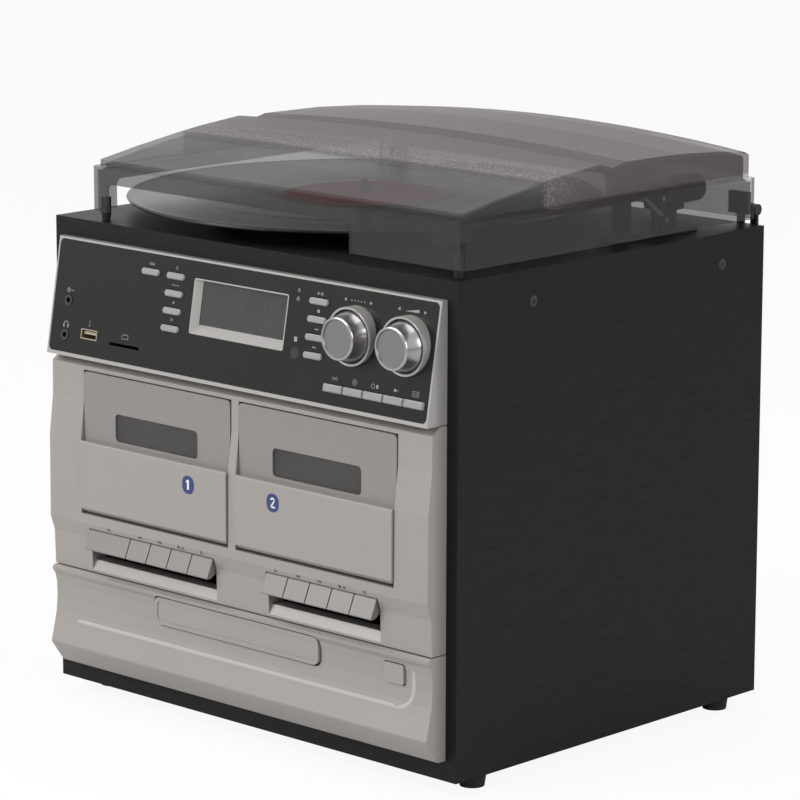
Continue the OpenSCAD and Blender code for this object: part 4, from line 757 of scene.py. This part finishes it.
def panel_ridge(path, width, height):
    """A low rounded ridge on the disc panel's front, along a path of x and z."""
    mesh = bmesh.new()
    places = []
    for (x0, z0), (x1, z1) in zip(path, path[1:]):
        steps = max(1, round(math.hypot(x1 - x0, z1 - z0) / RIDGE_STEP))
        places += [(x0 + (x1 - x0) * i / steps, z0 + (z1 - z0) * i / steps)
                   for i in range(steps)]
    places.append(path[-1])
    on = []
    for x, z in places:
        found, place, normal, _ = NODES["cd_fascia"].ray_cast(at(x, RAY_START_Y, z),
                                                             Vector((0, 1, 0)))
        if not found:
            raise SystemExit("The ridge leaves the disc panel at %.1f, %.1f" % (x, z))
        on.append((place, normal))
    rings = []
    for i, (place, normal) in enumerate(on):
        along = on[min(i + 1, len(on) - 1)][0] - on[max(i - 1, 0)][0]
        side = along.cross(normal).normalized()
        # The ridge fades out towards both ends
        fade = min(1.0, (min(i, len(on) - 1 - i) + 0.5) / RIDGE_FADE)
        ring = []
        for angle in range(0, 181, 30):
            a = math.radians(angle)
            ring.append(mesh.verts.new(place + side * (math.cos(a) * width / 2 * MM)
                                       + normal * ((math.sin(a) * height * fade - 0.1) * MM)))
        rings.append(ring)
    for a, b in zip(rings, rings[1:]):
        for i in range(len(a)):
            j = (i + 1) % len(a)
            mesh.faces.new((a[i], a[j], b[j], b[i]))
    mesh.faces.new(rings[0][::-1])
    mesh.faces.new(rings[-1])
    bmesh.ops.recalc_face_normals(mesh, faces=mesh.faces)
    ridge = bpy.data.meshes.new("panel_ridge")
    mesh.to_mesh(ridge)
    mesh.free()
    ridge.materials.append(bpy.data.materials["silver_panel"])
    for face in ridge.polygons:
        face.use_smooth = True
    return add_piece("panel_ridge", ridge, "cabinet")


# ------------------------------------------------------------- stage and light


def add_floor():
    """A pale floor just under the feet: white to the camera, with the object's faint shadow."""
    low = cad_box[0][2]
    mesh = bpy.data.meshes.new("floor")
    mesh.from_pydata([(x * FLOOR_HALF, y * FLOOR_HALF, low - FLOOR_SINK) for x, y in
                      ((-1, -1), (1, -1), (1, 1), (-1, 1))], [], [(0, 1, 2, 3)])
    mat = bpy.data.materials.new("floor")
    mat.use_nodes = True
    tree = mat.node_tree
    tree.nodes.clear()
    out = tree.nodes.new("ShaderNodeOutputMaterial")
    lit = tree.nodes.new("ShaderNodeBsdfDiffuse")
    lit.inputs["Color"].default_value = FLOOR_COLOR
    glow = tree.nodes.new("ShaderNodeEmission")
    glow.inputs["Color"].default_value = (1, 1, 1, 1)
    path = tree.nodes.new("ShaderNodeLightPath")
    share = tree.nodes.new("ShaderNodeMath")
    share.operation = "MULTIPLY"
    share.inputs[1].default_value = FLOOR_GLOW
    mix = tree.nodes.new("ShaderNodeMixShader")
    tree.links.new(path.outputs["Is Camera Ray"], share.inputs[0])
    tree.links.new(share.outputs[0], mix.inputs[0])
    tree.links.new(lit.outputs[0], mix.inputs[1])
    tree.links.new(glow.outputs[0], mix.inputs[2])
    tree.links.new(mix.outputs[0], out.inputs[0])
    mesh.materials.append(mat)
    floor = bpy.data.objects.new("floor", mesh)
    bpy.context.scene.collection.objects.link(floor)


def add_world():
    """White to the camera, to mirrors and through glass; a soft grey fill for the rest."""
    world = bpy.data.worlds.new("world")
    world.use_nodes = True
    bpy.context.scene.world = world
    tree = world.node_tree
    back = tree.nodes["Background"]
    back.inputs["Color"].default_value = (1, 1, 1, 1)
    path = tree.nodes.new("ShaderNodeLightPath")
    seen = path.outputs["Is Camera Ray"]
    for kind in ("Is Glossy Ray", "Is Transmission Ray"):
        both = tree.nodes.new("ShaderNodeMath")
        both.operation = "MAXIMUM"
        tree.links.new(seen, both.inputs[0])
        tree.links.new(path.outputs[kind], both.inputs[1])
        seen = both.outputs[0]
    level = tree.nodes.new("ShaderNodeMapRange")
    level.inputs["To Min"].default_value = FILL_LEVEL
    level.inputs["To Max"].default_value = 1.0
    tree.links.new(seen, level.inputs["Value"])
    tree.links.new(level.outputs[0], back.inputs["Strength"])


def add_light(name, place, size, power, target=(0.0, 100.0, 150.0)):
    data = bpy.data.lights.new(name, "AREA")
    data.shape = "RECTANGLE"
    data.size, data.size_y = size
    data.energy = power
    light = bpy.data.objects.new(name, data)
    spot, goal = at(*place), at(*target)
    light.matrix_world = (Matrix.Translation(spot)
                          @ (spot - goal).to_track_quat("Z", "Y").to_matrix().to_4x4())
    bpy.context.scene.collection.objects.link(light)


def add_lights():
    add_light("key", (-900, -1500, 1300), (1.3, 1.0), 26.0)
    add_light("top", (100, 100, 1900), (1.4, 1.4), 11.0)
    add_light("right_fill", (1900, -300, 900), (0.9, 0.9), 12.0)


add_camera()
add_floor()
add_world()
add_lights()
bpy.context.scene.view_settings.view_transform = "Standard"
dress()
display_signs()
lcd_segments()
for place in BADGES:
    badge(*place)
key_signs()
turn_x, turn_z = RIDGE_RIGHT - RIDGE_TURN, RIDGE_Z + RIDGE_TURN
panel_ridge([(RIDGE_LEFT, RIDGE_Z), (turn_x, RIDGE_Z)]
            + arc(turn_x, turn_z, RIDGE_TURN, -90.0, 0.0)
            + [(RIDGE_RIGHT, RIDGE_TOP)], RIDGE_WIDTH, RIDGE_HEIGHT)
